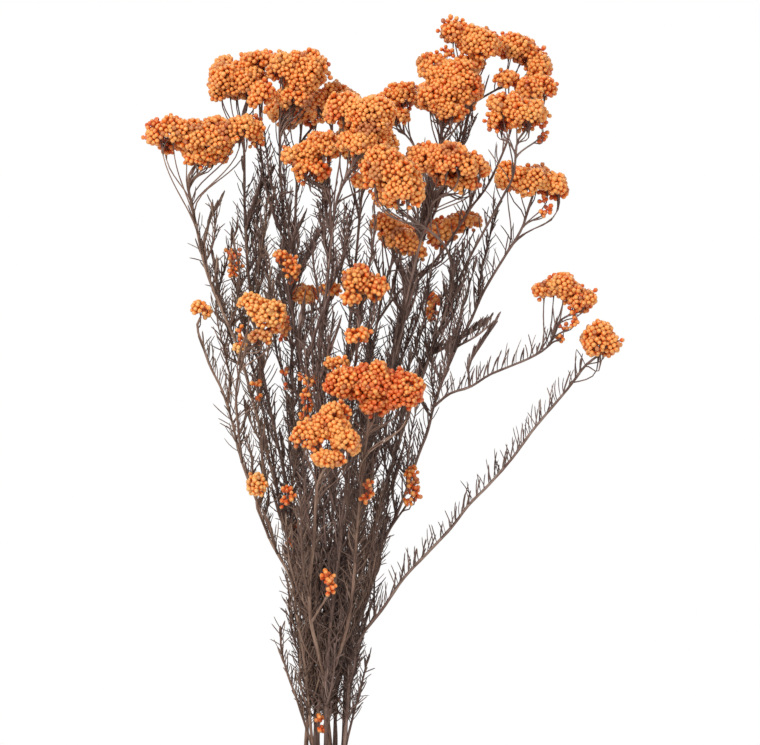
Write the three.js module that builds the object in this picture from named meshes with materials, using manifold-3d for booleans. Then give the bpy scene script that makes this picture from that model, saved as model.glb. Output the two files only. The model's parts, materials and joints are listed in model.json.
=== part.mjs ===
// A bunch of dried rice flower standing in a plain stoneware vase.
// Sixteen woody sprays cross inside the vase, fan out above its mouth and carry clusters of small
// orange buds. Millimetres, +Z up, the middle of the vase's foot at the origin.

import * as THREE from "three";
import { ConvexGeometry } from "three/addons/geometries/ConvexGeometry.js";
import { mergeVertices } from "three/addons/utils/BufferGeometryUtils.js";
import Module from "manifold-3d";

const wasm = await Module();
wasm.setup();

// Vase
const VASE_HEIGHT = 210;
const VASE_SIDES = 24;
const FLOOR_THICKNESS = 6;
const FOOT_RADIUS = 40;
const VASE_OUTSIDE = [
  [FOOT_RADIUS, 0], [42, 2], [53, 28], [60, 58], [60, 85], [50, 116], [34, 142], [24.5, 160],
  [20.5, 176], [20, 190], [23.5, VASE_HEIGHT],
];
const VASE_INSIDE = [
  [19, VASE_HEIGHT], [15.8, 190], [16, 176], [20, 160], [29.5, 142], [45.5, 116], [55.5, 85],
  [55.5, 58], [48.5, 28], [38, FLOOR_THICKNESS],
];

// Gaps between pieces that touch on the real bunch, and the room that crossing stems are given
const TOUCH_GAP = 0.3;
const STEM_ROOM = 1.1;
const HEAD_ROOM = 1.0;
const NEEDLE_ROOM = 0.35;
const STEM_SLIVER = 0.12;
const HEAD_SLIVER = 0.02;

// Stems
const FOOT_GAP = 0.3;
const FOOT_SPREAD = 2.4;
const FOOT_TURN = (100 * Math.PI) / 180;
const MAX_SEGMENT = 40;
const MAIN_SIDES = 5;
const ARM_SIDES = 4;
const BRANCHLET_SIDES = 3;
const BRANCHLET_RADIUS = 0.8;
const BRANCHLET_TIP_RADIUS = 0.6;
const BARE_BELOW_HEAD = 34;
const RIB_TRIM = 0.15;

// Needle leaves
const NEEDLE_SIDES = 3;
const NEEDLE_LENGTH = 13;
const NEEDLE_RADIUS = 0.75;
const NEEDLE_STEP = 15;
const TUFT_STEP = 5.5;
const FIRST_NEEDLE = 8;
const FIRST_TUFT_NEEDLE = 4;
const NEEDLE_ALONG = 0.8;
const TUFT_TIP_ALONG = 0.7;
const NEEDLE_OUTWARD = 0.58;
const NEEDLE_UPWARD = 0.2;
const NEEDLE_TRIES = 4;
const LOWEST_NEEDLE = VASE_HEIGHT + 14;
const GOLDEN_ANGLE = Math.PI * (3 - Math.sqrt(5));

// Flower heads: each lobe is a dome of buds, told by peaks and the valleys between them
const BUD_PITCH = 12;
const HEXAGON_SHARE = 0.87;
const FEWEST_PEAKS = 8;
const VALLEY = 0.8;
const CORE_RADIUS = 4;
const CORE_SIDES = 4;

// Settling: passes in which crossing stems and neighbouring heads ease apart, the share of an overlap
// that one pass undoes, and how much of a push may go sideways or up rather than to the front or back
const SETTLE_PASSES = 90;
const HEAD_EASE = 0.25;
const STEM_EASE = 0.35;
const STEM_FROM_HEAD_EASE = 0.4;
const HEAD_SIDEWAYS = 0.4;
const STEM_UPWARD = 0.3;
const NEIGHBOUR_SHARE = 0.1;

// Finishes
const STEM_BROWN = 0x54443b;
const STEM_TAN = 0x8a6248;
const BUD_ORANGE = 0xe58a45;
const BUD_PALE = 0xe9a25f;
const BUD_DEEP = 0xcf6d2c;
const STONEWARE = 0xd9d2c6;

// The sixteen sprays. Points are [across, back, above the vase's mouth]. "mouth" is where the stem
// stands in the mouth and "radius" its own radius low and high. A lobe of a head is
// [across, back, up, wide, deep, tall]. An arm grows from point number "at" of the limb "on",
// which is the main stem unless it is named, and an arm without a head is a leafy shoot.
const SPRAYS = [
  {
    name: "a", mouth: [-11.5, -3.5], radius: [2.1, 1.3], colour: STEM_TAN, buds: BUD_ORANGE,
    line: [
      [-7, -4, 54], [-15, -6, 108], [-25, -8, 144], [-34, -10, 177], [-42, -12, 206], [-51, -12, 239],
      [-61, -12, 263], [-71, -12, 288], [-77, -12, 315], [-82, -12, 338],
    ],
    lobes: [[-94, -14, 368, 30, 30, 25], [-72, -12, 365, 31, 38, 28], [-51, -16, 371, 29, 26, 20]],
  },
  {
    name: "b", mouth: [-7, -10], radius: [1.8, 1.1], colour: STEM_TAN, buds: BUD_PALE,
    line: [
      [-13, -14, 60], [-20, -20, 103], [-33, -24, 128], [-40, -26, 149], [-49, -28, 173],
      [-56, -28, 201], [-61, -26, 216], [-68, -24, 230], [-76, -20, 252],
    ],
    lobes: [[-74, -18, 264, 15, 15, 15]],
    arms: [
      {
        name: "loose", at: 5, radius: [1.2, 1.0],
        line: [[-51, -34, 192], [-52, -40, 218], [-47, -44, 238]],
        lobes: [[-44, -44, 268, 17, 20, 14], [-32, -46, 259, 22, 26, 23], [-38, -46, 247, 16, 18, 11]],
      },
      {
        name: "low", at: 3, radius: [1.1, 0.9],
        line: [[-40, -36, 146]],
        lobes: [[-40, -38, 159, 14, 16, 20]],
      },
      {
        name: "shoot", at: 0, radius: [1.2, 0.9],
        line: [[-17, -12, 32], [-22, -15, 46], [-26, -17, 62], [-26, -18, 74]],
      },
    ],
  },
  {
    name: "c", mouth: [-11, 4.5], radius: [1.8, 1.2], colour: STEM_BROWN, buds: BUD_ORANGE,
    line: [
      [-9, 6, 60], [-16, 14, 114], [-24, 22, 162], [-32, 26, 198], [-38, 26, 228], [-42, 24, 252],
      [-45, 22, 276], [-47, 20, 300], [-48, 18, 330], [-48, 16, 360], [-49, 14, 379],
    ],
    lobes: [[-59, 12, 403, 23, 32, 28], [-44, 14, 401, 23, 36, 32]],
    arms: [
      {
        name: "bud", at: 6, radius: [1.0, 0.9],
        line: [[-49, 8, 272], [-54, 0, 281]],
        lobes: [[-55, -4, 292, 12, 14, 15]],
      },
    ],
  },
  {
    name: "d", mouth: [-5.5, 0.5], radius: [1.8, 1.2], colour: STEM_BROWN, buds: BUD_ORANGE,
    line: [
      [-7, 2, 66], [-10, 4, 114], [-13, 2, 162], [-14, 0, 204], [-17, 0, 240], [-21, 2, 270],
      [-24, 4, 300], [-27, 6, 329], [-29, 4, 354], [-29, 2, 374],
    ],
    lobes: [[-28, 2, 406, 20, 32, 26], [-12, 2, 406, 24, 36, 29], [-21, 0, 391, 23, 28, 17]],
    arms: [
      {
        name: "left", at: 7, radius: [1.1, 0.9],
        line: [[-31, -1, 325], [-36, 3, 344], [-38, 4, 363], [-38, -2, 375]],
        lobes: [[-37, -8, 392, 17, 22, 20]],
      },
      {
        name: "front", at: 5, radius: [1.1, 0.9],
        line: [[-20, -10, 266], [-22, -15, 277]],
        lobes: [[-26, -20, 295, 14, 16, 11], [-20, -22, 288, 12, 16, 11]],
      },
      {
        name: "dark", at: 5, radius: [1.0, 0.9],
        line: [[-15, 8, 250], [-13, 10, 260]],
        lobes: [[-13, 10, 273, 18, 16, 10]],
      },
      { name: "tuft", at: 6, radius: [1.0, 0.8], line: [[-20, -6, 300], [-17, -14, 311]] },
    ],
  },
  {
    name: "e", mouth: [-4, -5], radius: [1.8, 1.2], colour: STEM_BROWN, buds: BUD_ORANGE,
    line: [
      [-3, -6, 66], [-5, -14, 114], [-5, -20, 162], [-4, -24, 198], [-3, -26, 228], [-1, -28, 258],
      [2, -30, 284], [4, -31, 306], [7, -36, 327], [13, -46, 342],
    ],
    lobes: [[12, -48, 379, 28, 34, 25], [29, -54, 376, 28, 38, 28], [22, -58, 361, 31, 30, 18]],
    arms: [
      {
        name: "side", at: 8, radius: [1.2, 1.0],
        line: [[4, -36, 332]],
        lobes: [[1, -36, 361, 25, 32, 23], [-16, -34, 356, 19, 20, 13], [-7, -40, 346, 22, 24, 16]],
      },
      {
        name: "back", at: 8, radius: [1.2, 1.0],
        line: [[1, -10, 321], [2, 8, 348], [4, 18, 371]],
        lobes: [[-4, 22, 391, 22, 26, 17], [12, 24, 391, 22, 28, 18]],
      },
      {
        name: "low", at: 3, radius: [1.1, 0.9],
        line: [[-8, -34, 190], [-10, -42, 199]],
        lobes: [[-10, -46, 215, 12, 16, 24]],
      },
      {
        name: "tuft", at: 6, radius: [1.0, 0.8],
        line: [[-5, -22, 280], [-7, -18, 297], [-4, -16, 311]],
      },
    ],
  },
  {
    name: "g", mouth: [12, 1.5], radius: [1.9, 1.2], colour: STEM_BROWN, buds: BUD_ORANGE,
    line: [
      [15, 6, 66], [22, 4, 90], [29, 2, 113], [39, 0, 133], [47, -2, 151], [56, -4, 177], [62, -6, 193],
      [65, -8, 206], [71, -10, 223], [79, -12, 242], [87, -12, 257], [95, -12, 275], [107, -12, 295],
      [118, -12, 313], [121, -12, 322],
    ],
    lobes: [[110, -10, 343, 18, 24, 19], [125, -12, 341, 24, 32, 22], [139, -12, 336, 14, 22, 22]],
    arms: [
      {
        name: "reach", at: 8, radius: [1.2, 0.9],
        line: [
          [75, -14, 214], [87, -18, 218], [98, -20, 225], [110, -20, 230], [124, -20, 236],
          [134, -18, 243], [138, -15, 254],
        ],
        lobes: [[131, -12, 275, 16, 18, 13], [142, -14, 278, 18, 26, 18], [154, -14, 269, 20, 26, 18]],
      },
      {
        name: "low", at: 4, radius: [1.1, 0.9],
        line: [[48, -12, 146]],
        lobes: [[52, -20, 159, 12, 16, 19]],
      },
      { name: "tuft", at: 10, radius: [1.0, 0.8], line: [[90, -20, 248], [101, -26, 257]] },
      { name: "shoot", at: 0, radius: [1.2, 0.9], line: [[18, -2, 25], [22, -4, 40], [26, -5, 56]] },
    ],
  },
  {
    name: "h", mouth: [10.5, 6.5], radius: [1.8, 1.2], colour: STEM_BROWN, buds: BUD_ORANGE,
    line: [
      [13, 22, 66], [19, 28, 96], [27, 30, 126], [36, 30, 156], [45, 28, 186], [54, 24, 213],
      [63, 16, 237], [71, 4, 258], [76, -10, 276], [76, -24, 289], [71, -40, 302], [61, -54, 311],
      [49, -66, 318], [43, -72, 323],
    ],
    lobes: [[34, -78, 347, 26, 34, 28], [46, -84, 335, 26, 34, 34]],
    arms: [
      {
        name: "right", at: 9, radius: [1.2, 1.0],
        line: [
          [81, -12, 284], [88, -18, 298], [94, -24, 309], [100, -28, 320], [106, -30, 331],
          [112, -32, 343], [114, -32, 361],
        ],
        lobes: [[107, -32, 386, 22, 24, 16], [121, -34, 379, 24, 32, 22]],
      },
      {
        name: "dark", at: 7, radius: [1.0, 0.9],
        line: [[67, 15, 253]],
        lobes: [[65, 17, 266, 13, 16, 14]],
      },
    ],
  },
  {
    name: "j", mouth: [11.5, -4], radius: [1.9, 1.2], colour: STEM_BROWN, buds: BUD_ORANGE,
    line: [
      [16, -16, 57], [23, -20, 71], [34, -24, 85], [47, -26, 104], [63, -28, 121], [76, -28, 135],
      [86, -28, 148], [97, -28, 159], [112, -28, 176], [123, -26, 191], [133, -24, 203],
      [145, -22, 217], [154, -20, 229],
    ],
    lobes: [[164, -20, 245, 25, 28, 26]],
  },
  {
    name: "k", mouth: [5.5, 3], radius: [1.9, 1.3], colour: STEM_BROWN, buds: BUD_ORANGE,
    line: [
      [8, 16, 78], [13, 24, 114], [20, 30, 150], [28, 32, 186], [35, 32, 219], [43, 32, 249],
      [50, 30, 276], [57, 28, 303], [63, 22, 330], [68, 10, 354], [70, 0, 370],
    ],
    lobes: [
      [65, 0, 409, 22, 26, 22], [80, -8, 400, 31, 38, 30], [64, -10, 390, 20, 28, 19],
      [75, -14, 382, 19, 24, 17],
    ],
    arms: [
      {
        name: "crown", at: 8, radius: [1.2, 1.0],
        line: [[69, 30, 330], [79, 26, 354], [85, 20, 373], [89, 14, 388], [92, 10, 402]],
        lobes: [[79, 6, 431, 19, 26, 18], [94, 6, 424, 28, 36, 23]],
      },
      {
        name: "arc", on: "crown", at: 4, radius: [1.1, 0.9],
        line: [[99, 18, 395], [108, 20, 400]],
        lobes: [[113, 20, 423, 28, 28, 17], [128, 18, 410, 17, 24, 24]],
      },
      {
        name: "ring", at: 9, radius: [1.1, 0.9],
        line: [[59, 36, 351], [54, 36, 364], [48, 31, 371]],
        lobes: [[37, 26, 391, 17, 22, 16], [47, 28, 393, 22, 24, 14], [43, 26, 381, 18, 20, 12]],
      },
      {
        name: "right", at: 7, radius: [1.2, 1.0],
        line: [
          [63, 14, 293], [75, 6, 311], [85, 2, 326], [95, 0, 338], [104, 2, 355], [110, 6, 369],
          [114, 6, 382],
        ],
        lobes: [[110, 6, 403, 17, 20, 12], [127, 4, 397, 28, 30, 19]],
      },
    ],
  },
  {
    name: "m", mouth: [1, -12], radius: [1.8, 1.2], colour: STEM_BROWN, buds: BUD_ORANGE,
    line: [
      [1, -18, 42], [4, -26, 78], [9, -32, 120], [13, -38, 162], [16, -42, 198], [18, -44, 228],
      [20, -46, 246], [21, -46, 259],
    ],
    lobes: [[19, -46, 281, 20, 26, 20], [31, -44, 275, 14, 22, 19], [15, -50, 269, 14, 18, 11]],
    arms: [
      {
        name: "front", at: 6, radius: [1.0, 0.9],
        line: [[19, -59, 236]],
        lobes: [[20, -64, 248, 17, 18, 12]],
      },
    ],
  },
  {
    name: "n", mouth: [3.5, -6], radius: [2.7, 1.3], colour: STEM_TAN, buds: BUD_ORANGE,
    line: [
      [2, -8, 21], [1, -16, 42], [-3, -26, 61], [-7, -36, 78], [-8, -48, 102], [-6, -58, 123],
      [-5, -68, 143], [-4, -76, 158],
    ],
    lobes: [
      [-10, -86, 188, 20, 26, 22], [4, -82, 199, 18, 26, 23], [13, -88, 184, 20, 28, 22],
      [2, -90, 176, 20, 20, 12],
    ],
    arms: [
      {
        name: "right", at: 2, radius: [1.6, 1.1],
        line: [
          [7, -24, 56], [13, -32, 75], [17, -42, 102], [19, -50, 132], [22, -58, 162], [25, -64, 188],
        ],
        lobes: [[12, -64, 219, 25, 30, 23], [29, -66, 221, 28, 34, 25], [46, -66, 215, 28, 34, 28]],
      },
      {
        name: "bud", at: 4, radius: [1.0, 0.9],
        line: [[1, -58, 93]],
        lobes: [[3, -62, 103, 10, 11, 12]],
      },
    ],
  },
  {
    name: "o", mouth: [1, 0], radius: [1.8, 1.2], colour: STEM_BROWN, buds: BUD_DEEP,
    line: [
      [5, -2, 54], [10, 0, 90], [17, 2, 126], [23, 2, 162], [31, 0, 198], [39, -4, 228],
      [46, -10, 255], [51, -16, 279], [56, -22, 300], [62, -30, 321], [67, -38, 333],
    ],
    lobes: [[59, -42, 353, 25, 30, 22], [76, -46, 350, 31, 38, 28], [90, -42, 347, 16, 24, 18]],
  },
  {
    name: "p", mouth: [0.5, 6.5], radius: [1.7, 1.2], colour: STEM_BROWN, buds: BUD_DEEP,
    line: [
      [3, 16, 60], [8, 26, 102], [13, 34, 138], [19, 38, 174], [24, 38, 204], [28, 36, 234],
      [32, 32, 258], [36, 26, 278], [40, 22, 290],
    ],
    lobes: [[37, 12, 317, 19, 24, 14], [46, 10, 307, 20, 28, 18], [56, 8, 301, 16, 22, 16]],
    arms: [
      {
        name: "right", at: 7, radius: [1.2, 1.0],
        line: [[44, 30, 273], [57, 26, 284], [68, 20, 292]],
        lobes: [[69, 12, 310, 19, 26, 20], [83, 14, 317, 22, 24, 14]],
      },
    ],
  },
  {
    name: "q", mouth: [-6.5, 10], radius: [1.8, 1.2], colour: STEM_BROWN, buds: BUD_ORANGE,
    line: [
      [-4, 14, 60], [-10, 34, 108], [-16, 50, 156], [-20, 62, 198], [-21, 70, 240], [-20, 76, 282],
      [-19, 78, 324], [-17, 74, 362],
    ],
    lobes: [[-25, 72, 388, 26, 34, 26], [-7, 72, 386, 24, 34, 24]],
    arms: [
      {
        name: "low", at: 5, radius: [1.2, 1.0],
        line: [[-17, 84, 250], [-14, 92, 258]],
        lobes: [[-14, 98, 274, 20, 24, 18]],
      },
    ],
  },
  {
    name: "r", mouth: [0, 12.5], radius: [1.8, 1.2], colour: STEM_BROWN, buds: BUD_PALE,
    line: [
      [0, 20, 54], [1, 44, 96], [4, 62, 138], [7, 74, 180], [11, 84, 222], [15, 90, 264],
      [19, 92, 306], [22, 88, 340],
    ],
    lobes: [[15, 84, 367, 25, 34, 25], [32, 86, 367, 25, 34, 26], [25, 90, 356, 24, 28, 18]],
    arms: [
      {
        name: "mid", at: 5, radius: [1.2, 1.0],
        line: [[16, 98, 244], [21, 106, 259]],
        lobes: [[22, 109, 278, 24, 28, 22]],
      },
      {
        name: "low", at: 4, radius: [1.2, 1.0],
        line: [[16, 88, 190], [25, 98, 201]],
        lobes: [[28, 104, 217, 26, 30, 22]],
      },
    ],
  },
  {
    name: "s", mouth: [6.5, 11], radius: [1.8, 1.2], colour: STEM_BROWN, buds: BUD_ORANGE,
    line: [
      [4, 22, 54], [11, 40, 96], [19, 54, 138], [27, 64, 180], [37, 72, 222], [46, 76, 264],
      [56, 78, 306], [64, 78, 342], [71, 76, 370],
    ],
    lobes: [[65, 74, 395, 23, 30, 22], [80, 76, 397, 24, 36, 28]],
    arms: [
      {
        name: "mid", at: 6, radius: [1.2, 1.0],
        line: [[49, 88, 281], [46, 96, 292]],
        lobes: [[45, 100, 309, 24, 28, 20]],
      },
    ],
  },
];

// Small helpers

function seededRandom(seed) {
  let state = seed;
  return () => {
    state = (state + 0x6d2b79f5) | 0;
    let t = Math.imul(state ^ (state >>> 15), 1 | state);
    t = (t + Math.imul(t ^ (t >>> 7), 61 | t)) ^ t;
    return ((t ^ (t >>> 14)) >>> 0) / 4294967296;
  };
}

// The geometry with only its positions left, and its shared corners merged
function merged(geometry) {
  const plain = geometry.index ? geometry.toNonIndexed() : geometry.clone();
  plain.deleteAttribute("normal");
  plain.deleteAttribute("uv");
  return mergeVertices(plain, 1e-5);
}

function solidOf(geometry) {
  const closed = merged(geometry);
  return new wasm.Manifold(
    new wasm.Mesh({
      numProp: 3,
      vertProperties: Float32Array.from(closed.attributes.position.array),
      triVerts: Uint32Array.from(closed.index.array),
    }),
  );
}

// One solid of many, without the slivers that the joints leave
function joined(solids, sliver) {
  return wasm.Manifold.union(solids).asOriginal().simplify(sliver);
}

function geometryOf(solid) {
  const mesh = solid.getMesh();
  const geometry = new THREE.BufferGeometry();
  geometry.setAttribute("position", new THREE.BufferAttribute(mesh.vertProperties, 3));
  geometry.setIndex(new THREE.BufferAttribute(mesh.triVerts, 1));
  return geometry;
}

function pieceOf(name, geometry, colour, roughness) {
  const faceted = geometry.index ? geometry.toNonIndexed() : geometry;
  faceted.computeVertexNormals();
  const finish = new THREE.MeshStandardMaterial({ color: colour, roughness, metalness: 0 });
  const mesh = new THREE.Mesh(faceted, finish);
  mesh.name = name;
  return mesh;
}

// Limbs: the main stems and arms as lines of points

function splitLong(points) {
  const out = [points[0]];
  for (let i = 1; i < points.length; i += 1) {
    const from = points[i - 1];
    const parts = Math.ceil(from.distanceTo(points[i]) / MAX_SEGMENT);
    for (let part = 1; part <= parts; part += 1) {
      out.push(from.clone().lerp(points[i], part / parts));
    }
  }
  return out;
}

function liftedPoint([across, back, up]) {
  return new THREE.Vector3(across, back, VASE_HEIGHT + up);
}

function footUnder([across, back]) {
  const cos = Math.cos(FOOT_TURN) * FOOT_SPREAD;
  const sin = Math.sin(FOOT_TURN) * FOOT_SPREAD;
  const height = FLOOR_THICKNESS + FOOT_GAP;
  return new THREE.Vector3(across * cos - back * sin, across * sin + back * cos, height);
}

function makeHead(sprayName, limbName, lobes) {
  return {
    spray: sprayName,
    name: limbName ? `head_${sprayName}_${limbName}` : `head_${sprayName}`,
    shift: new THREE.Vector3(),
    lobes: lobes.map(([across, back, up, wide, deep, tall]) => ({
      centre: liftedPoint([across, back, up]),
      half: new THREE.Vector3(wide / 2, deep / 2, tall / 2),
    })),
  };
}

function makeLimbs() {
  const limbs = [];
  for (const spray of SPRAYS) {
    const mouth = new THREE.Vector3(spray.mouth[0], spray.mouth[1], VASE_HEIGHT + 1);
    const free = splitLong([mouth, ...spray.line.map(liftedPoint)]);
    const named = [mouth, ...spray.line.map(liftedPoint)];
    const main = {
      spray: spray.name, name: "main", main: true, fixed: 2, radius: spray.radius,
      points: [footUnder(spray.mouth), ...free],
      anchors: named.map((point) => 1 + free.findIndex((other) => other.distanceTo(point) < 1e-6)),
      head: makeHead(spray.name, "", spray.lobes),
    };
    const ofSpray = { main };
    limbs.push(main);
    for (const arm of spray.arms ?? []) {
      const parent = ofSpray[arm.on ?? "main"];
      const parentIndex = parent.anchors[arm.at];
      const start = parent.points[parentIndex].clone();
      const points = [start, ...arm.line.map(liftedPoint)];
      const limb = {
        spray: spray.name, name: arm.name, main: false, fixed: 1, radius: arm.radius, parent, parentIndex,
        points, anchors: points.map((_, index) => index),
        head: arm.lobes ? makeHead(spray.name, arm.name, arm.lobes) : null,
      };
      ofSpray[arm.name] = limb;
      limbs.push(limb);
    }
  }
  return limbs;
}

function radiusAt(limb, index) {
  const share = index / (limb.points.length - 1);
  return limb.radius[0] + (limb.radius[1] - limb.radius[0]) * share;
}

// Settling: heads and stems that would cross ease apart, mostly to the front and back

function nearestOfSegments(p1, q1, p2, q2) {
  const d1 = q1.clone().sub(p1);
  const d2 = q2.clone().sub(p2);
  const r = p1.clone().sub(p2);
  const a = d1.dot(d1);
  const e = d2.dot(d2);
  const f = d2.dot(r);
  const c = d1.dot(r);
  const b = d1.dot(d2);
  const denominator = a * e - b * b;
  let s = denominator > 1e-9 ? THREE.MathUtils.clamp((b * f - c * e) / denominator, 0, 1) : 0.5;
  let t = (b * s + f) / e;
  if (t < 0 || t > 1) {
    t = THREE.MathUtils.clamp(t, 0, 1);
    s = THREE.MathUtils.clamp((b * t - c) / a, 0, 1);
  }
  const away = p1.clone().addScaledVector(d1, s).sub(p2.clone().addScaledVector(d2, t));
  return { s, t, away, distance: away.length() };
}

function reachTowards(half, direction) {
  return 1 / Math.hypot(direction.x / half.x, direction.y / half.y, direction.z / half.z);
}

function settleHeads(heads) {
  for (let i = 0; i < heads.length; i += 1) {
    for (let j = i + 1; j < heads.length; j += 1) {
      for (const one of heads[i].lobes) {
        for (const two of heads[j].lobes) {
          const away = one.centre.clone().add(heads[i].shift).sub(two.centre).sub(heads[j].shift);
          const distance = away.length();
          const direction = away.divideScalar(distance);
          const need = reachTowards(one.half, direction) + reachTowards(two.half, direction) + HEAD_ROOM;
          if (distance >= need) continue;
          const push = direction.multiplyScalar((need - distance) * HEAD_EASE);
          push.x *= HEAD_SIDEWAYS;
          push.z *= HEAD_SIDEWAYS;
          heads[i].shift.add(push);
          heads[j].shift.sub(push);
        }
      }
    }
  }
}

function pushLimbsApart(limbs, pushes) {
  for (let i = 0; i < limbs.length; i += 1) {
    for (let j = i + 1; j < limbs.length; j += 1) {
      const one = limbs[i];
      const two = limbs[j];
      if (one.spray === two.spray) continue;
      for (let k = one.main ? 1 : 0; k < one.points.length - 1; k += 1) {
        for (let m = two.main ? 1 : 0; m < two.points.length - 1; m += 1) {
          const need = radiusAt(one, k) + radiusAt(two, m) + STEM_ROOM;
          if (one.points[k].distanceTo(two.points[m]) > need + 2 * MAX_SEGMENT) continue;
          const [from, to] = [two.points[m], two.points[m + 1]];
          const near = nearestOfSegments(one.points[k], one.points[k + 1], from, to);
          if (near.distance >= need) continue;
          if (near.distance < 1e-3) near.away.set(0, 1, 0);
          const push = near.away.normalize().multiplyScalar((need - near.distance) * STEM_EASE);
          pushes[i][k].addScaledVector(push, 1 - near.s);
          pushes[i][k + 1].addScaledVector(push, near.s);
          pushes[j][m].addScaledVector(push, near.t - 1);
          pushes[j][m + 1].addScaledVector(push, -near.t);
        }
      }
    }
  }
}

function pushLimbsFromHeads(limbs, heads, pushes) {
  const toStart = new THREE.Vector3();
  const along = new THREE.Vector3();
  limbs.forEach((limb, i) => {
    for (const head of heads) {
      if (limb.head === head) continue;
      for (const lobe of head.lobes) {
        for (let k = limb.main ? 1 : 0; k < limb.points.length - 1; k += 1) {
          const room = radiusAt(limb, k) + HEAD_ROOM;
          const half = lobe.half.clone().addScalar(room);
          toStart.copy(limb.points[k]).sub(lobe.centre).sub(head.shift).divide(half);
          along.copy(limb.points[k + 1]).sub(lobe.centre).sub(head.shift).divide(half).sub(toStart);
          const share = THREE.MathUtils.clamp(-toStart.dot(along) / along.lengthSq(), 0, 1);
          const nearest = toStart.clone().addScaledVector(along, share);
          const depth = 1 - nearest.length();
          if (depth <= 0) continue;
          const push = nearest.normalize().multiply(half).multiplyScalar(depth * STEM_FROM_HEAD_EASE);
          push.z *= STEM_UPWARD;
          pushes[i][k].addScaledVector(push, 1 - share);
          pushes[i][k + 1].addScaledVector(push, share);
        }
      }
    }
  });
}

function settle(limbs) {
  const heads = limbs.filter((limb) => limb.head).map((limb) => limb.head);
  const rest = limbs.map((limb) => limb.points.map((point) => point.clone()));
  const moved = limbs.map((limb) => limb.points.map(() => new THREE.Vector3()));
  for (let pass = 0; pass < SETTLE_PASSES; pass += 1) {
    settleHeads(heads);
    const pushes = limbs.map((limb) => limb.points.map(() => new THREE.Vector3()));
    pushLimbsApart(limbs, pushes);
    pushLimbsFromHeads(limbs, heads, pushes);
    limbs.forEach((limb, i) => {
      const last = limb.points.length - 1;
      moved[i].forEach((move, k) => move.add(pushes[i][k]));
      if (limb.head) moved[i][last].copy(limb.head.shift);
      const before = moved[i].map((move) => move.clone());
      for (let k = limb.fixed; k < last; k += 1) {
        moved[i][k].multiplyScalar(1 - 2 * NEIGHBOUR_SHARE);
        moved[i][k].addScaledVector(before[k - 1], NEIGHBOUR_SHARE);
        moved[i][k].addScaledVector(before[k + 1], NEIGHBOUR_SHARE);
      }
      for (let k = 0; k < limb.fixed; k += 1) moved[i][k].set(0, 0, 0);
      limb.points.forEach((point, k) => point.copy(rest[i][k]).add(moved[i][k]));
      if (limb.parent) limb.points[0].copy(limb.parent.points[limb.parentIndex]);
    });
  }
}

// Shapes

function tube(points, radii, sides, flatFoot) {
  const rows = points.length - 1;
  const geometry = new THREE.CylinderGeometry(1, 1, 1, sides, rows);
  const frames = [];
  const alongX = Math.abs(points[1].x - points[0].x) > 0.8 * points[0].distanceTo(points[1]);
  let normal = alongX ? new THREE.Vector3(0, 1, 0) : new THREE.Vector3(1, 0, 0);
  for (let i = 0; i <= rows; i += 1) {
    const tangent = points[Math.min(i + 1, rows)].clone().sub(points[Math.max(i - 1, 0)]).normalize();
    normal = normal.clone().addScaledVector(tangent, -normal.dot(tangent)).normalize();
    frames.push({ normal, side: normal.clone().cross(tangent) });
  }
  const position = geometry.attributes.position;
  const out = new THREE.Vector3();
  for (let v = 0; v < position.count; v += 1) {
    const row = Math.round((position.getY(v) + 0.5) * rows);
    out.copy(points[row]);
    out.addScaledVector(frames[row].normal, position.getX(v) * radii[row]);
    out.addScaledVector(frames[row].side, position.getZ(v) * radii[row]);
    if (flatFoot && row === 0) out.z = points[0].z;
    position.setXYZ(v, out.x, out.y, out.z);
  }
  return solidOf(geometry);
}

function needleSolid(needle) {
  const geometry = new THREE.ConeGeometry(NEEDLE_RADIUS, needle.length, NEEDLE_SIDES);
  geometry.translate(0, needle.length / 2, 0);
  const upright = new THREE.Vector3(0, 1, 0);
  geometry.applyQuaternion(new THREE.Quaternion().setFromUnitVectors(upright, needle.direction));
  geometry.translate(needle.root.x, needle.root.y, needle.root.z);
  return solidOf(geometry);
}

// A dome of buds: the hull of evenly spread peaks, with every hull face's middle drawn in as a valley
function lobeSolid(lobe, shift) {
  const { x, y, z } = lobe.half;
  const area = (4 * Math.PI * (x * y + x * z + y * z)) / 3;
  const count = Math.max(FEWEST_PEAKS, Math.round(area / (BUD_PITCH * BUD_PITCH * HEXAGON_SHARE)));
  const peaks = [];
  for (let i = 0; i < count; i += 1) {
    const up = 1 - (2 * (i + 0.5)) / count;
    const around = i * GOLDEN_ANGLE + lobe.centre.x;
    const ring = Math.sqrt(1 - up * up);
    peaks.push(new THREE.Vector3(ring * Math.cos(around), ring * Math.sin(around), up));
  }
  const hull = merged(new ConvexGeometry(peaks));
  const corner = hull.attributes.position;
  const index = hull.index.array;
  const place = (point) => point.clone().multiply(lobe.half).add(lobe.centre).add(shift);
  const corners = [];
  for (let i = 0; i < corner.count; i += 1) {
    corners.push(new THREE.Vector3().fromBufferAttribute(corner, i));
  }
  const edges = new Map();
  const middles = [];
  for (let f = 0; f < index.length; f += 3) {
    const [a, b, c] = [index[f], index[f + 1], index[f + 2]];
    const middle = corners[a].clone().add(corners[b]).add(corners[c]).normalize().multiplyScalar(VALLEY);
    middles.push(middle);
    for (const [from, to] of [[a, b], [b, c], [c, a]]) edges.set(`${from},${to}`, middles.length - 1);
  }
  const positions = [];
  for (const [key, own] of edges) {
    const [from, to] = key.split(",").map(Number);
    const other = edges.get(`${to},${from}`);
    const triangle = [corners[from], middles[other], middles[own]];
    for (const point of triangle) positions.push(...place(point).toArray());
  }
  const geometry = new THREE.BufferGeometry();
  geometry.setAttribute("position", new THREE.Float32BufferAttribute(positions, 3));
  return solidOf(geometry);
}

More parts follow.
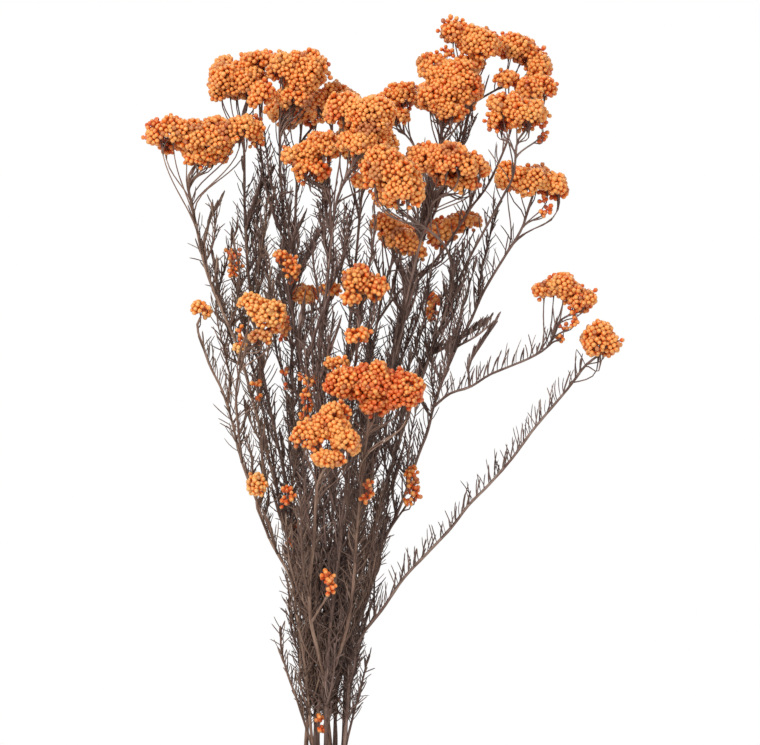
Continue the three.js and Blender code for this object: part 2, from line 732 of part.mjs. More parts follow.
// A head's lobes, held together by a slim core from each lobe to the one before it
function headSolid(head) {
  const solids = head.lobes.map((lobe) => lobeSolid(lobe, head.shift));
  const centres = head.lobes.map((lobe) => lobe.centre.clone().add(head.shift));
  centres.slice(1).forEach((centre, i) => {
    solids.push(tube([centres[i], centre], [CORE_RADIUS, CORE_RADIUS], CORE_SIDES, false));
  });
  return joined(solids, HEAD_SLIVER);
}

// Branchlets: the ribs that fan from a stem's tip to the underside of each lobe

function ribSolid(rib) {
  return tube([rib.from, rib.to], [BRANCHLET_RADIUS, BRANCHLET_TIP_RADIUS], BRANCHLET_SIDES, false);
}

function branchletsOf(limb, headMesh) {
  const tip = limb.points[limb.points.length - 1];
  const caster = new THREE.Raycaster();
  const head = solidOf(headMesh.geometry);
  const out = [];
  for (const lobe of limb.head.lobes) {
    const target = lobe.centre.clone().add(limb.head.shift);
    const direction = target.clone().sub(tip).normalize();
    caster.set(tip, direction);
    const [hit] = caster.intersectObject(headMesh);
    const rib = { from: tip, to: tip.clone().addScaledVector(direction, hit.distance - TOUCH_GAP) };
    while (ribSolid(rib).minGap(head, 1) < TOUCH_GAP) rib.to.addScaledVector(direction, -RIB_TRIM);
    out.push(rib);
  }
  return out;
}

// Needle leaves: spaced along each limb by the golden angle, each only where it has room

function hasRoom(needle, spray, obstacles, heads) {
  const tip = needle.root.clone().addScaledVector(needle.direction, needle.length);
  for (const other of obstacles) {
    if (other.spray === spray) continue;
    const near = nearestOfSegments(needle.root, tip, other.from, other.to);
    if (near.distance < NEEDLE_RADIUS + other.radius + NEEDLE_ROOM) return false;
  }
  for (const head of heads) {
    for (const lobe of head.lobes) {
      const half = lobe.half.clone().addScalar(NEEDLE_RADIUS + NEEDLE_ROOM);
      for (const share of [0, 0.25, 0.5, 0.75, 1]) {
        const at = needle.root.clone().lerp(tip, share).sub(lobe.centre).sub(head.shift).divide(half);
        if (at.length() < 1) return false;
      }
    }
  }
  return true;
}

function needlesAlong(limb, random, obstacles, heads) {
  const needles = [];
  const leafy = !limb.head;
  const step = leafy ? TUFT_STEP : NEEDLE_STEP;
  const lengths = limb.points.slice(1).map((point, k) => point.distanceTo(limb.points[k]));
  const total = lengths.reduce((sum, length) => sum + length, 0);
  const end = leafy ? total : total - BARE_BELOW_HEAD;
  let turn = random() * Math.PI * 2;
  for (let at = leafy ? FIRST_TUFT_NEEDLE : FIRST_NEEDLE; at < end; at += step) {
    let k = 0;
    let left = at;
    while (left > lengths[k]) {
      left -= lengths[k];
      k += 1;
    }
    const tangent = limb.points[k + 1].clone().sub(limb.points[k]).normalize();
    const onAxis = limb.points[k].clone().addScaledVector(tangent, left);
    if (onAxis.z < LOWEST_NEEDLE) continue;
    const across = new THREE.Vector3(1, 0, 0).cross(tangent).normalize();
    const other = tangent.clone().cross(across);
    const steep = NEEDLE_ALONG + (leafy ? (TUFT_TIP_ALONG * at) / total : 0);
    for (let attempt = 0; attempt < NEEDLE_TRIES; attempt += 1) {
      turn += GOLDEN_ANGLE;
      const outward = across.clone().multiplyScalar(Math.cos(turn));
      outward.addScaledVector(other, Math.sin(turn));
      const direction = tangent.clone().multiplyScalar(steep).addScaledVector(outward, NEEDLE_OUTWARD);
      direction.z += NEEDLE_UPWARD;
      direction.normalize();
      const root = onAxis.clone();
      const needle = { root, direction, length: NEEDLE_LENGTH * (0.85 + 0.3 * random()) };
      if (hasRoom(needle, limb.spray, obstacles, heads)) {
        needles.push(needle);
        obstacles.push({
          spray: limb.spray, from: root, radius: NEEDLE_RADIUS,
          to: root.clone().addScaledVector(direction, needle.length),
        });
        break;
      }
    }
  }
  return needles;
}

// The vase, the heads and the stems as pieces

function makeVase() {
  const outline = [[0, 0], ...VASE_OUTSIDE, ...VASE_INSIDE, [0, FLOOR_THICKNESS]];
  const profile = outline.map(([radius, height]) => new THREE.Vector2(radius, height));
  const turned = new THREE.LatheGeometry(profile, VASE_SIDES).rotateX(Math.PI / 2);
  return pieceOf("vase", turned, STONEWARE, 0.75);
}

function makeBunch() {
  const group = new THREE.Group();
  const limbs = makeLimbs();
  settle(limbs);
  const heads = limbs.filter((limb) => limb.head).map((limb) => limb.head);
  const colourOf = Object.fromEntries(SPRAYS.map((spray) => [spray.name, spray]));

  const headMeshes = new Map();
  for (const head of heads) {
    const mesh = pieceOf(head.name, geometryOf(headSolid(head)), colourOf[head.spray].buds, 0.85);
    headMeshes.set(head, mesh);
    group.add(mesh);
  }

  const obstacles = [];
  for (const limb of limbs) {
    limb.branchlets = limb.head ? branchletsOf(limb, headMeshes.get(limb.head)) : [];
    limb.points.slice(1).forEach((point, k) => {
      obstacles.push({ spray: limb.spray, from: limb.points[k], to: point, radius: radiusAt(limb, k) });
    });
    for (const rib of limb.branchlets) {
      obstacles.push({ spray: limb.spray, from: rib.from, to: rib.to, radius: BRANCHLET_RADIUS });
    }
  }

  for (const spray of SPRAYS) {
    const random = seededRandom(spray.name.charCodeAt(0) * 7919);
    const solids = [];
    for (const limb of limbs.filter((one) => one.spray === spray.name)) {
      const radii = limb.points.map((_, k) => radiusAt(limb, k));
      solids.push(tube(limb.points, radii, limb.main ? MAIN_SIDES : ARM_SIDES, limb.main));
      for (const rib of limb.branchlets) solids.push(ribSolid(rib));
      for (const needle of needlesAlong(limb, random, obstacles, heads)) solids.push(needleSolid(needle));
    }
    group.add(pieceOf(`stem_${spray.name}`, geometryOf(joined(solids, STEM_SLIVER)), spray.colour, 0.9));
  }
  return group;
}

const riceFlower = new THREE.Group();
riceFlower.add(makeVase());
riceFlower.add(makeBunch());

export default riceFlower;
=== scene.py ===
"""A vase of dried rice flower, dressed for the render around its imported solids.

Sixteen woody sprays, with needle leaves and flat-topped heads of small orange buds, stand in a plain
stoneware vase. Sizes are in millimetres until a mesh is made, in the same frame as the solids: +Z up,
the middle of the vase's foot at the origin, and the photograph taken looking along +Y.
"""

import json
import logging
import math
from collections.abc import Callable, Iterator, Sequence
from contextlib import contextmanager
from dataclasses import KW_ONLY, dataclass, field
from enum import Enum
from itertools import combinations, product

import bmesh
import bpy
import numpy as np
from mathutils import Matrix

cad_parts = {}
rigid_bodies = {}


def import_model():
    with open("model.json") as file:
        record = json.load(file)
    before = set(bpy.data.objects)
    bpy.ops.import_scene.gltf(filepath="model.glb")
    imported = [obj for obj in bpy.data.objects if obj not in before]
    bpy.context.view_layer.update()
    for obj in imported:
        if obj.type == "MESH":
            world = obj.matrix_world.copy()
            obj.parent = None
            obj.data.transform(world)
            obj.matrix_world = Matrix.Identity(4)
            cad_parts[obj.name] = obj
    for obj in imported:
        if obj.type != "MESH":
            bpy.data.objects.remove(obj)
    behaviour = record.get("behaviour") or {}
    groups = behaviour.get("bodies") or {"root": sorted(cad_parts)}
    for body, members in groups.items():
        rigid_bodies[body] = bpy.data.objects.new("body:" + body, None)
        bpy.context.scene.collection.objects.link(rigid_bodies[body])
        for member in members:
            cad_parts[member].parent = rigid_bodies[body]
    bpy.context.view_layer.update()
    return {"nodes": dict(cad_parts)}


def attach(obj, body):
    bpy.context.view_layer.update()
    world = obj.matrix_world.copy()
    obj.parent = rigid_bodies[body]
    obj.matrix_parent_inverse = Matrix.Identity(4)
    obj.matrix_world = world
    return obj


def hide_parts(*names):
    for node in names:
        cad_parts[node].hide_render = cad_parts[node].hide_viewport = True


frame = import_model()

LOG = logging.getLogger("rice_flower")
MM = 0.001
TINY = 1e-9
TINIEST = 1e-12
GOLDEN_ANGLE = math.pi * (3 - math.sqrt(5))

Array = np.ndarray
Piece = bpy.types.Object
Material = bpy.types.Material
Triple = tuple[float, float, float]
Pair = tuple[float, float]
LobeSize = tuple[float, float, float, float, float, float]

# Names of the attributes that every copied shape carries: its own coordinates, and a few shares that
# its finish reads (how light it is, how far along or up it is, and how dried)
PLACE = "own_place"
SHARES = "shares"


class Bark(Enum):
    """The record's finishes for wood and leaves."""

    BROWN = "brown_stem"
    TAN = "tan_stem"


class Dye(Enum):
    """The record's finishes for the flower buds."""

    ORANGE = "orange_buds"
    PALE = "pale_buds"
    DEEP = "deep_buds"


@dataclass(frozen=True)
class Arm:
    """A side branch. Points are [across, back, above the mouth]; without lobes it is a leafy shoot."""

    name: str
    _: KW_ONLY
    at: int
    radius: Pair = (1.2, 1.0)
    line: tuple[Triple, ...]
    lobes: tuple[LobeSize, ...] = ()
    on: str = "main"


@dataclass(frozen=True)
class Spray:
    """One cut stem with its arms. A lobe is (across, back, up, wide, deep, tall)."""

    name: str
    bark: Bark = Bark.BROWN
    dye: Dye = Dye.ORANGE
    _: KW_ONLY
    mouth: Pair
    radius: Pair = (1.8, 1.2)
    line: tuple[Triple, ...]
    lobes: tuple[LobeSize, ...]
    arms: tuple[Arm, ...] = ()


SPRAYS: tuple[Spray, ...] = (
    Spray(
        "a", Bark.TAN, mouth=(-11.5, -3.5), radius=(2.1, 1.3),
        line=(
            (-7, -4, 54), (-15, -6, 108), (-25, -8, 144), (-34, -10, 177), (-42, -12, 206),
            (-51, -12, 239), (-61, -12, 263), (-71, -12, 288), (-77, -12, 315), (-82, -12, 338),
        ),
        lobes=((-94, -14, 368, 30, 30, 25), (-72, -12, 365, 31, 38, 28), (-51, -16, 371, 29, 26, 20)),
    ),
    Spray(
        "b", Bark.TAN, Dye.PALE, mouth=(-7, -10), radius=(1.8, 1.1),
        line=(
            (-13, -14, 60), (-20, -20, 103), (-33, -24, 128), (-40, -26, 149), (-49, -28, 173),
            (-56, -28, 201), (-61, -26, 216), (-68, -24, 230), (-76, -20, 252),
        ),
        lobes=((-74, -18, 264, 15, 15, 15),),
        arms=(
            Arm("loose", at=5,
                line=((-51, -34, 192), (-52, -40, 218), (-47, -44, 238)),
                lobes=(
                    (-44, -44, 268, 17, 20, 14), (-32, -46, 259, 22, 26, 23),
                    (-38, -46, 247, 16, 18, 11),
                )),
            Arm("low", at=3, radius=(1.1, 0.9),
                line=((-40, -36, 146),),
                lobes=((-40, -38, 159, 14, 16, 20),)),
            Arm("shoot", at=0, radius=(1.2, 0.9),
                line=((-17, -12, 32), (-22, -15, 46), (-26, -17, 62), (-26, -18, 74))),
        ),
    ),
    Spray(
        "c", mouth=(-11, 4.5),
        line=(
            (-9, 6, 60), (-16, 14, 114), (-24, 22, 162), (-32, 26, 198), (-38, 26, 228),
            (-42, 24, 252), (-45, 22, 276), (-47, 20, 300), (-48, 18, 330), (-48, 16, 360),
            (-49, 14, 379),
        ),
        lobes=((-59, 12, 403, 23, 32, 28), (-44, 14, 401, 23, 36, 32)),
        arms=(
            Arm("bud", at=6, radius=(1.0, 0.9),
                line=((-49, 8, 272), (-54, 0, 281)),
                lobes=((-55, -4, 292, 12, 14, 15),)),
        ),
    ),
    Spray(
        "d", mouth=(-5.5, 0.5),
        line=(
            (-7, 2, 66), (-10, 4, 114), (-13, 2, 162), (-14, 0, 204), (-17, 0, 240), (-21, 2, 270),
            (-24, 4, 300), (-27, 6, 329), (-29, 4, 354), (-29, 2, 374),
        ),
        lobes=((-28, 2, 406, 20, 32, 26), (-12, 2, 406, 24, 36, 29), (-21, 0, 391, 23, 28, 17)),
        arms=(
            Arm("left", at=7, radius=(1.1, 0.9),
                line=((-31, -1, 325), (-36, 3, 344), (-38, 4, 363), (-38, -2, 375)),
                lobes=((-37, -8, 392, 17, 22, 20),)),
            Arm("front", at=5, radius=(1.1, 0.9),
                line=((-20, -10, 266), (-22, -15, 277)),
                lobes=((-26, -20, 295, 14, 16, 11), (-20, -22, 288, 12, 16, 11))),
            Arm("dark", at=5, radius=(1.0, 0.9),
                line=((-15, 8, 250), (-13, 10, 260)),
                lobes=((-13, 10, 273, 18, 16, 10),)),
            Arm("tuft", at=6, radius=(1.0, 0.8), line=((-20, -6, 300), (-17, -14, 311))),
        ),
    ),
    Spray(
        "e", mouth=(-4, -5),
        line=(
            (-3, -6, 66), (-5, -14, 114), (-5, -20, 162), (-4, -24, 198), (-3, -26, 228),
            (-1, -28, 258), (2, -30, 284), (4, -31, 306), (7, -36, 327), (13, -46, 342),
        ),
        lobes=((12, -48, 379, 28, 34, 25), (29, -54, 376, 28, 38, 28), (22, -58, 361, 31, 30, 18)),
        arms=(
            Arm("side", at=8,
                line=((4, -36, 332),),
                lobes=((1, -36, 361, 25, 32, 23), (-16, -34, 356, 19, 20, 13), (-7, -40, 346, 22, 24, 16))),
            Arm("back", at=8,
                line=((1, -10, 321), (2, 8, 348), (4, 18, 371)),
                lobes=((-4, 22, 391, 22, 26, 17), (12, 24, 391, 22, 28, 18))),
            Arm("low", at=3, radius=(1.1, 0.9),
                line=((-8, -34, 190), (-10, -42, 199)),
                lobes=((-10, -46, 215, 12, 16, 24),)),
            Arm("tuft", at=6, radius=(1.0, 0.8), line=((-5, -22, 280), (-7, -18, 297), (-4, -16, 311))),
        ),
    ),
    Spray(
        "g", mouth=(12, 1.5), radius=(1.9, 1.2),
        line=(
            (15, 6, 66), (22, 4, 90), (29, 2, 113), (39, 0, 133), (47, -2, 151), (56, -4, 177),
            (62, -6, 193), (65, -8, 206), (71, -10, 223), (79, -12, 242), (87, -12, 257),
            (95, -12, 275), (107, -12, 295), (118, -12, 313), (121, -12, 322),
        ),
        lobes=((110, -10, 343, 18, 24, 19), (125, -12, 341, 24, 32, 22), (139, -12, 336, 14, 22, 22)),
        arms=(
            Arm("reach", at=8, radius=(1.2, 0.9),
                line=(
                    (75, -14, 214), (87, -18, 218), (98, -20, 225), (110, -20, 230),
                    (124, -20, 236), (134, -18, 243), (138, -15, 254),
                ),
                lobes=(
                    (131, -12, 275, 16, 18, 13), (142, -14, 278, 18, 26, 18),
                    (154, -14, 269, 20, 26, 18),
                )),
            Arm("low", at=4, radius=(1.1, 0.9),
                line=((48, -12, 146),),
                lobes=((52, -20, 159, 12, 16, 19),)),
            Arm("tuft", at=10, radius=(1.0, 0.8), line=((90, -20, 248), (101, -26, 257))),
            Arm("shoot", at=0, radius=(1.2, 0.9), line=((18, -2, 25), (22, -4, 40), (26, -5, 56))),
        ),
    ),
    Spray(
        "h", mouth=(10.5, 6.5),
        line=(
            (13, 22, 66), (19, 28, 96), (27, 30, 126), (36, 30, 156), (45, 28, 186), (54, 24, 213),
            (63, 16, 237), (71, 4, 258), (76, -10, 276), (76, -24, 289), (71, -40, 302),
            (61, -54, 311), (49, -66, 318), (43, -72, 323),
        ),
        lobes=((34, -78, 347, 26, 34, 28), (46, -84, 335, 26, 34, 34)),
        arms=(
            Arm("right", at=9,
                line=(
                    (81, -12, 284), (88, -18, 298), (94, -24, 309), (100, -28, 320),
                    (106, -30, 331), (112, -32, 343), (114, -32, 361),
                ),
                lobes=((107, -32, 386, 22, 24, 16), (121, -34, 379, 24, 32, 22))),
            Arm("dark", at=7, radius=(1.0, 0.9),
                line=((67, 15, 253),),
                lobes=((65, 17, 266, 13, 16, 14),)),
        ),
    ),
    Spray(
        "j", mouth=(11.5, -4), radius=(1.9, 1.2),
        line=(
            (16, -16, 57), (23, -20, 71), (34, -24, 85), (47, -26, 104), (63, -28, 121),
            (76, -28, 135), (86, -28, 148), (97, -28, 159), (112, -28, 176), (123, -26, 191),
            (133, -24, 203), (145, -22, 217), (154, -20, 229),
        ),
        lobes=((164, -20, 245, 25, 28, 26),),
    ),
    Spray(
        "k", mouth=(5.5, 3), radius=(1.9, 1.3),
        line=(
            (8, 16, 78), (13, 24, 114), (20, 30, 150), (28, 32, 186), (35, 32, 219), (43, 32, 249),
            (50, 30, 276), (57, 28, 303), (63, 22, 330), (68, 10, 354), (70, 0, 370),
        ),
        lobes=(
            (65, 0, 409, 22, 26, 22), (80, -8, 400, 31, 38, 30), (64, -10, 390, 20, 28, 19),
            (75, -14, 382, 19, 24, 17),
        ),
        arms=(
            Arm("crown", at=8,
                line=((69, 30, 330), (79, 26, 354), (85, 20, 373), (89, 14, 388), (92, 10, 402)),
                lobes=((79, 6, 431, 19, 26, 18), (94, 6, 424, 28, 36, 23))),
            Arm("arc", on="crown", at=4, radius=(1.1, 0.9),
                line=((99, 18, 395), (108, 20, 400)),
                lobes=((113, 20, 423, 28, 28, 17), (128, 18, 410, 17, 24, 24))),
            Arm("ring", at=9, radius=(1.1, 0.9),
                line=((59, 36, 351), (54, 36, 364), (48, 31, 371)),
                lobes=((37, 26, 391, 17, 22, 16), (47, 28, 393, 22, 24, 14), (43, 26, 381, 18, 20, 12))),
            Arm("right", at=7,
                line=(
                    (63, 14, 293), (75, 6, 311), (85, 2, 326), (95, 0, 338), (104, 2, 355),
                    (110, 6, 369), (114, 6, 382),
                ),
                lobes=((110, 6, 403, 17, 20, 12), (127, 4, 397, 28, 30, 19))),
        ),
    ),
    Spray(
        "m", mouth=(1, -12),
        line=(
            (1, -18, 42), (4, -26, 78), (9, -32, 120), (13, -38, 162), (16, -42, 198),
            (18, -44, 228), (20, -46, 246), (21, -46, 259),
        ),
        lobes=((19, -46, 281, 20, 26, 20), (31, -44, 275, 14, 22, 19), (15, -50, 269, 14, 18, 11)),
        arms=(
            Arm("front", at=6, radius=(1.0, 0.9),
                line=((19, -59, 236),),
                lobes=((20, -64, 248, 17, 18, 12),)),
        ),
    ),
    Spray(
        "n", Bark.TAN, mouth=(3.5, -6), radius=(2.7, 1.3),
        line=(
            (2, -8, 21), (1, -16, 42), (-3, -26, 61), (-7, -36, 78), (-8, -48, 102), (-6, -58, 123),
            (-5, -68, 143), (-4, -76, 158),
        ),
        lobes=(
            (-10, -86, 188, 20, 26, 22), (4, -82, 199, 18, 26, 23), (13, -88, 184, 20, 28, 22),
            (2, -90, 176, 20, 20, 12),
        ),
        arms=(
            Arm("right", at=2, radius=(1.6, 1.1),
                line=(
                    (7, -24, 56), (13, -32, 75), (17, -42, 102), (19, -50, 132), (22, -58, 162),
                    (25, -64, 188),
                ),
                lobes=((12, -64, 219, 25, 30, 23), (29, -66, 221, 28, 34, 25), (46, -66, 215, 28, 34, 28))),
            Arm("bud", at=4, radius=(1.0, 0.9),
                line=((1, -58, 93),),
                lobes=((3, -62, 103, 10, 11, 12),)),
        ),
    ),
    Spray(
        "o", Bark.BROWN, Dye.DEEP, mouth=(1, 0),
        line=(
            (5, -2, 54), (10, 0, 90), (17, 2, 126), (23, 2, 162), (31, 0, 198), (39, -4, 228),
            (46, -10, 255), (51, -16, 279), (56, -22, 300), (62, -30, 321), (67, -38, 333),
        ),
        lobes=((59, -42, 353, 25, 30, 22), (76, -46, 350, 31, 38, 28), (90, -42, 347, 16, 24, 18)),
    ),
    Spray(
        "p", Bark.BROWN, Dye.DEEP, mouth=(0.5, 6.5), radius=(1.7, 1.2),
        line=(
            (3, 16, 60), (8, 26, 102), (13, 34, 138), (19, 38, 174), (24, 38, 204), (28, 36, 234),
            (32, 32, 258), (36, 26, 278), (40, 22, 290),
        ),
        lobes=((37, 12, 317, 19, 24, 14), (46, 10, 307, 20, 28, 18), (56, 8, 301, 16, 22, 16)),
        arms=(
            Arm("right", at=7,
                line=((44, 30, 273), (57, 26, 284), (68, 20, 292)),
                lobes=((69, 12, 310, 19, 26, 20), (83, 14, 317, 22, 24, 14))),
        ),
    ),
    Spray(
        "q", mouth=(-6.5, 10),
        line=(
            (-4, 14, 60), (-10, 34, 108), (-16, 50, 156), (-20, 62, 198), (-21, 70, 240),
            (-20, 76, 282), (-19, 78, 324), (-17, 74, 362),
        ),
        lobes=((-25, 72, 388, 26, 34, 26), (-7, 72, 386, 24, 34, 24)),
        arms=(
            Arm("low", at=5,
                line=((-17, 84, 250), (-14, 92, 258)),
                lobes=((-14, 98, 274, 20, 24, 18),)),
        ),
    ),
    Spray(
        "r", Bark.BROWN, Dye.PALE, mouth=(0, 12.5),
        line=(
            (0, 20, 54), (1, 44, 96), (4, 62, 138), (7, 74, 180), (11, 84, 222), (15, 90, 264),
            (19, 92, 306), (22, 88, 340),
        ),
        lobes=((15, 84, 367, 25, 34, 25), (32, 86, 367, 25, 34, 26), (25, 90, 356, 24, 28, 18)),
        arms=(
            Arm("mid", at=5,
                line=((16, 98, 244), (21, 106, 259)),
                lobes=((22, 109, 278, 24, 28, 22),)),
            Arm("low", at=4,
                line=((16, 88, 190), (25, 98, 201)),
                lobes=((28, 104, 217, 26, 30, 22),)),
        ),
    ),
    Spray(
        "s", mouth=(6.5, 11),
        line=(
            (4, 22, 54), (11, 40, 96), (19, 54, 138), (27, 64, 180), (37, 72, 222), (46, 76, 264),
            (56, 78, 306), (64, 78, 342), (71, 76, 370),
        ),
        lobes=((65, 74, 395, 23, 30, 22), (80, 76, 397, 24, 36, 28)),
        arms=(
            Arm("mid", at=6,
                line=((49, 88, 281), (46, 96, 292)),
                lobes=((45, 100, 309, 24, 28, 20),)),
        ),
    ),
)

# Small sprigs and single buds low in the bunch, and broken or leafy side shoots, that the photograph
# shows beside the main arms: the spray and limb that carries each, and the arm itself
SPRIGS: tuple[tuple[str, Arm], ...] = (
    ("e", Arm("sprig", at=3, radius=(0.8, 0.5), line=((-13, -27, 144), (-20, -31, 150)),
              lobes=((-21, -32, 154, 10, 10, 8),))),
    ("c", Arm("sprig", at=2, radius=(0.8, 0.5), line=((-18, 4, 122), (-20, -8, 126)),
              lobes=((-20, -11, 130, 9, 8, 8),))),
    ("n", Arm("low_sprig", at=1, radius=(0.7, 0.4), line=((-1, -12, 15),),
              lobes=((-2, -13, 17, 6, 6, 6),))),
    ("n", Arm("high_sprig", on="right", at=5, radius=(0.8, 0.5), line=((24, -60, 152),),
              lobes=((25, -62, 157, 11, 10, 9),))),
    ("d", Arm("stub", at=8, radius=(1.3, 0.9), line=((-27, -2, 333), (-19, -6, 335)))),
    ("m", Arm("fan", at=4, radius=(0.9, 0.5), line=((8, -46, 180), (-2, -50, 208), (-8, -50, 240)))),
    ("k", Arm("brush", at=8, radius=(0.9, 0.5), line=((72, 8, 345), (84, 2, 364), (90, -2, 380)))),
)

# Limbs that carry no leaves
BARE_LIMBS = ("stub",)

# How much wood stays bare below a head, where leaves come up closer to it than usual
BARE_BELOW: dict[str, float] = {"b main": 9.0, "j main": 7.0, "g reach": 14.0}

# Small bud groups that the photograph shows beside the large heads, by the spray that carries them
POSIES: dict[str, tuple[LobeSize, ...]] = {
    "a": ((-72, -12, 355, 28, 22, 11),),
    "b": ((-50, -40, 246, 9, 10, 11), (-41, -22, 215, 6, 6, 8)),
    "c": ((-40, 14, 415, 22, 22, 12),),
    "d": ((-41, -14, 371, 13, 16, 16),),
    "e": ((22, -36, 340, 16, 15, 11), (7, 20, 397, 18, 18, 10), (-24, -30, 252, 9, 10, 10),
          (-23, -24, 222, 6, 6, 8), (4, -18, 276, 16, 15, 9)),
    "g": ((132, -14, 325, 9, 9, 8), (148, -16, 258, 10, 9, 8), (142, -14, 250, 6, 6, 6)),
    "h": ((105, -32, 376, 20, 20, 15), (129, -30, 371, 9, 10, 10)),
    "k": ((73, 6, 417, 9, 9, 9), (88, 4, 412, 19, 20, 12), (46, 26, 398, 20, 18, 9)),
    "m": ((8, -48, 232, 16, 15, 9),),
    "n": ((31, -66, 207, 22, 22, 14), (12, -78, 203, 13, 15, 11)),
    "o": ((83, -40, 338, 21, 20, 11), (72, -36, 341, 16, 15, 10), (35, -30, 331, 16, 15, 13)),
}

# How much deeper than the others the buds of some heads are coloured; a negative value makes them lighter
DEEPER: dict[str, float] = {"head_n_right": 0.5, "head_n_posy_1": 0.5, "head_n": -0.05, "head_m": 0.12,
                            "head_p": -0.15, "head_p_right": -0.15}

# Heads that show between the stems in front of them, where few leaves hide them
SHOWING = ("head_p", "head_p_right", "head_d_dark", "head_h_dark", "head_d_front", "head_b_loose", "head_m")

# How far left and right the side shoots reach at each height above the vase's mouth
ROOM = ((0, -20, 14), (55, -32, 22), (105, -24, 32), (150, -40, 50), (170, -46, 52), (210, -54, 60),
        (250, -68, 84), (300, -78, 96), (330, -84, 108), (360, -62, 96))

# Vase and stems, as the solids have them
VASE_HEIGHT = 210.0
FLOOR_THICKNESS = 6.0
STEM_ROOM = 1.1
HEAD_ROOM = 1.0
FOOT_GAP = 0.3
FOOT_SPREAD = 2.4
FOOT_TURN = math.radians(100)
MAX_SEGMENT = 40.0
SETTLE_PASSES = 90
HEAD_EASE = 0.25
STEM_EASE = 0.35
STEM_FROM_HEAD_EASE = 0.4
HEAD_SIDEWAYS = 0.4
STEM_UPWARD = 0.3
NEIGHBOUR_SHARE = 0.1
FARTHEST_MOVE = 25.0
SAME_PLACE = 1e-3
PARALLEL_SHARE = 0.5

# Where a main stem gets points between its foot and the mouth, as shares of the way up
INSIDE_SHARES = (0, 0.25, 0.5, 0.75, 0.92)


def length_of(vectors: Array) -> Array:
    """The length of each vector in the last axis."""
    return np.sqrt((vectors * vectors).sum(-1))


def unit(vectors: Array) -> Array:
    """Each vector in the last axis, made one long."""
    return vectors / np.maximum(length_of(vectors), TINY)[..., None]


def lifted(point: Sequence[float]) -> Array:
    """A point given above the vase's mouth, as a point above the floor."""
    return np.array([point[0], point[1], VASE_HEIGHT + point[2]], float)


@dataclass
class Lobe:
    """One dome of buds: its middle and its half sizes."""

    centre: Array
    half: Array


def lobe_of(sizes: LobeSize) -> Lobe:
    """A lobe from its (across, back, above the mouth, wide, deep, tall)."""
    return Lobe(lifted(sizes[:3]), np.array(sizes[3:], float) / 2)


@dataclass
class Head:
    """A flower head of one or more lobes."""

    name: str
    lobes: list[Lobe]
    shift: Array = field(default_factory=lambda: np.zeros(3))

    def settled_lobes(self) -> list[Lobe]:
        """The lobes where the settling left them."""
        return [Lobe(lobe.centre + self.shift, lobe.half) for lobe in self.lobes]


@dataclass
class Limb:
    """A main stem or an arm as a line of points, with its radius low and high."""

    spray: str
    name: str
    points: Array
    radius: Pair
    fixed: int
    anchors: list[int]
    head: Head | None
    parent: "Limb | None" = None
    parent_index: int = 0

    @property
    def is_main(self) -> bool:
        """True for a stem that stands in the vase."""
        return self.parent is None

    def radius_at(self, index: int) -> float:
        """The radius at a point number."""
        share = index / (len(self.points) - 1)
        return self.radius[0] + (self.radius[1] - self.radius[0]) * share


def split_long(points: list[Array]) -> list[Array]:
    """The same line with no step longer than MAX_SEGMENT.

    Args:
        points: the line's points.

    Returns:
        The points with others set evenly between them.
    """
    out = [points[0]]
    for start, end in zip(points, points[1:]):
        parts = math.ceil(float(length_of(end - start)) / MAX_SEGMENT - TINIEST)
        out += [start + (end - start) * (part / parts) for part in range(1, parts + 1)]
    return out


def nearest_of_segments(
    start: Array, end: Array, other_start: Array, other_end: Array
) -> tuple[Array, Array, Array]:
    """Where pairs of segments come nearest to each other.

    Args:
        start: starts of the first segments.
        end: ends of the first segments.
        other_start: starts of the second segments.
        other_end: ends of the second segments.

    Returns:
        The shares along the first and the second segments, and the vectors between those points.
    """
    one, other, between = end - start, other_end - other_start, start - other_start
    one_square, other_square = (one * one).sum(1), (other * other).sum(1)
    one_offset, other_offset = (one * between).sum(1), (other * between).sum(1)
    shared = (one * other).sum(1)
    skew = one_square * other_square - shared * shared
    share = (shared * other_offset - one_offset * other_square) / np.maximum(skew, TINIEST)
    share = np.where(skew > TINY, np.clip(share, 0, 1), PARALLEL_SHARE)
    other_share = (shared * share + other_offset) / other_square
    beyond = (other_share < 0) | (other_share > 1)
    other_share = np.clip(other_share, 0, 1)
    share = np.where(beyond, np.clip((shared * other_share - one_offset) / one_square, 0, 1), share)
    return share, other_share, start + one * share[:, None] - other_start - other * other_share[:, None]


def reach_towards(half: Array, direction: Array) -> float:
    """How far an ellipsoid reaches in a direction."""
    return 1 / math.hypot(*(direction / half))


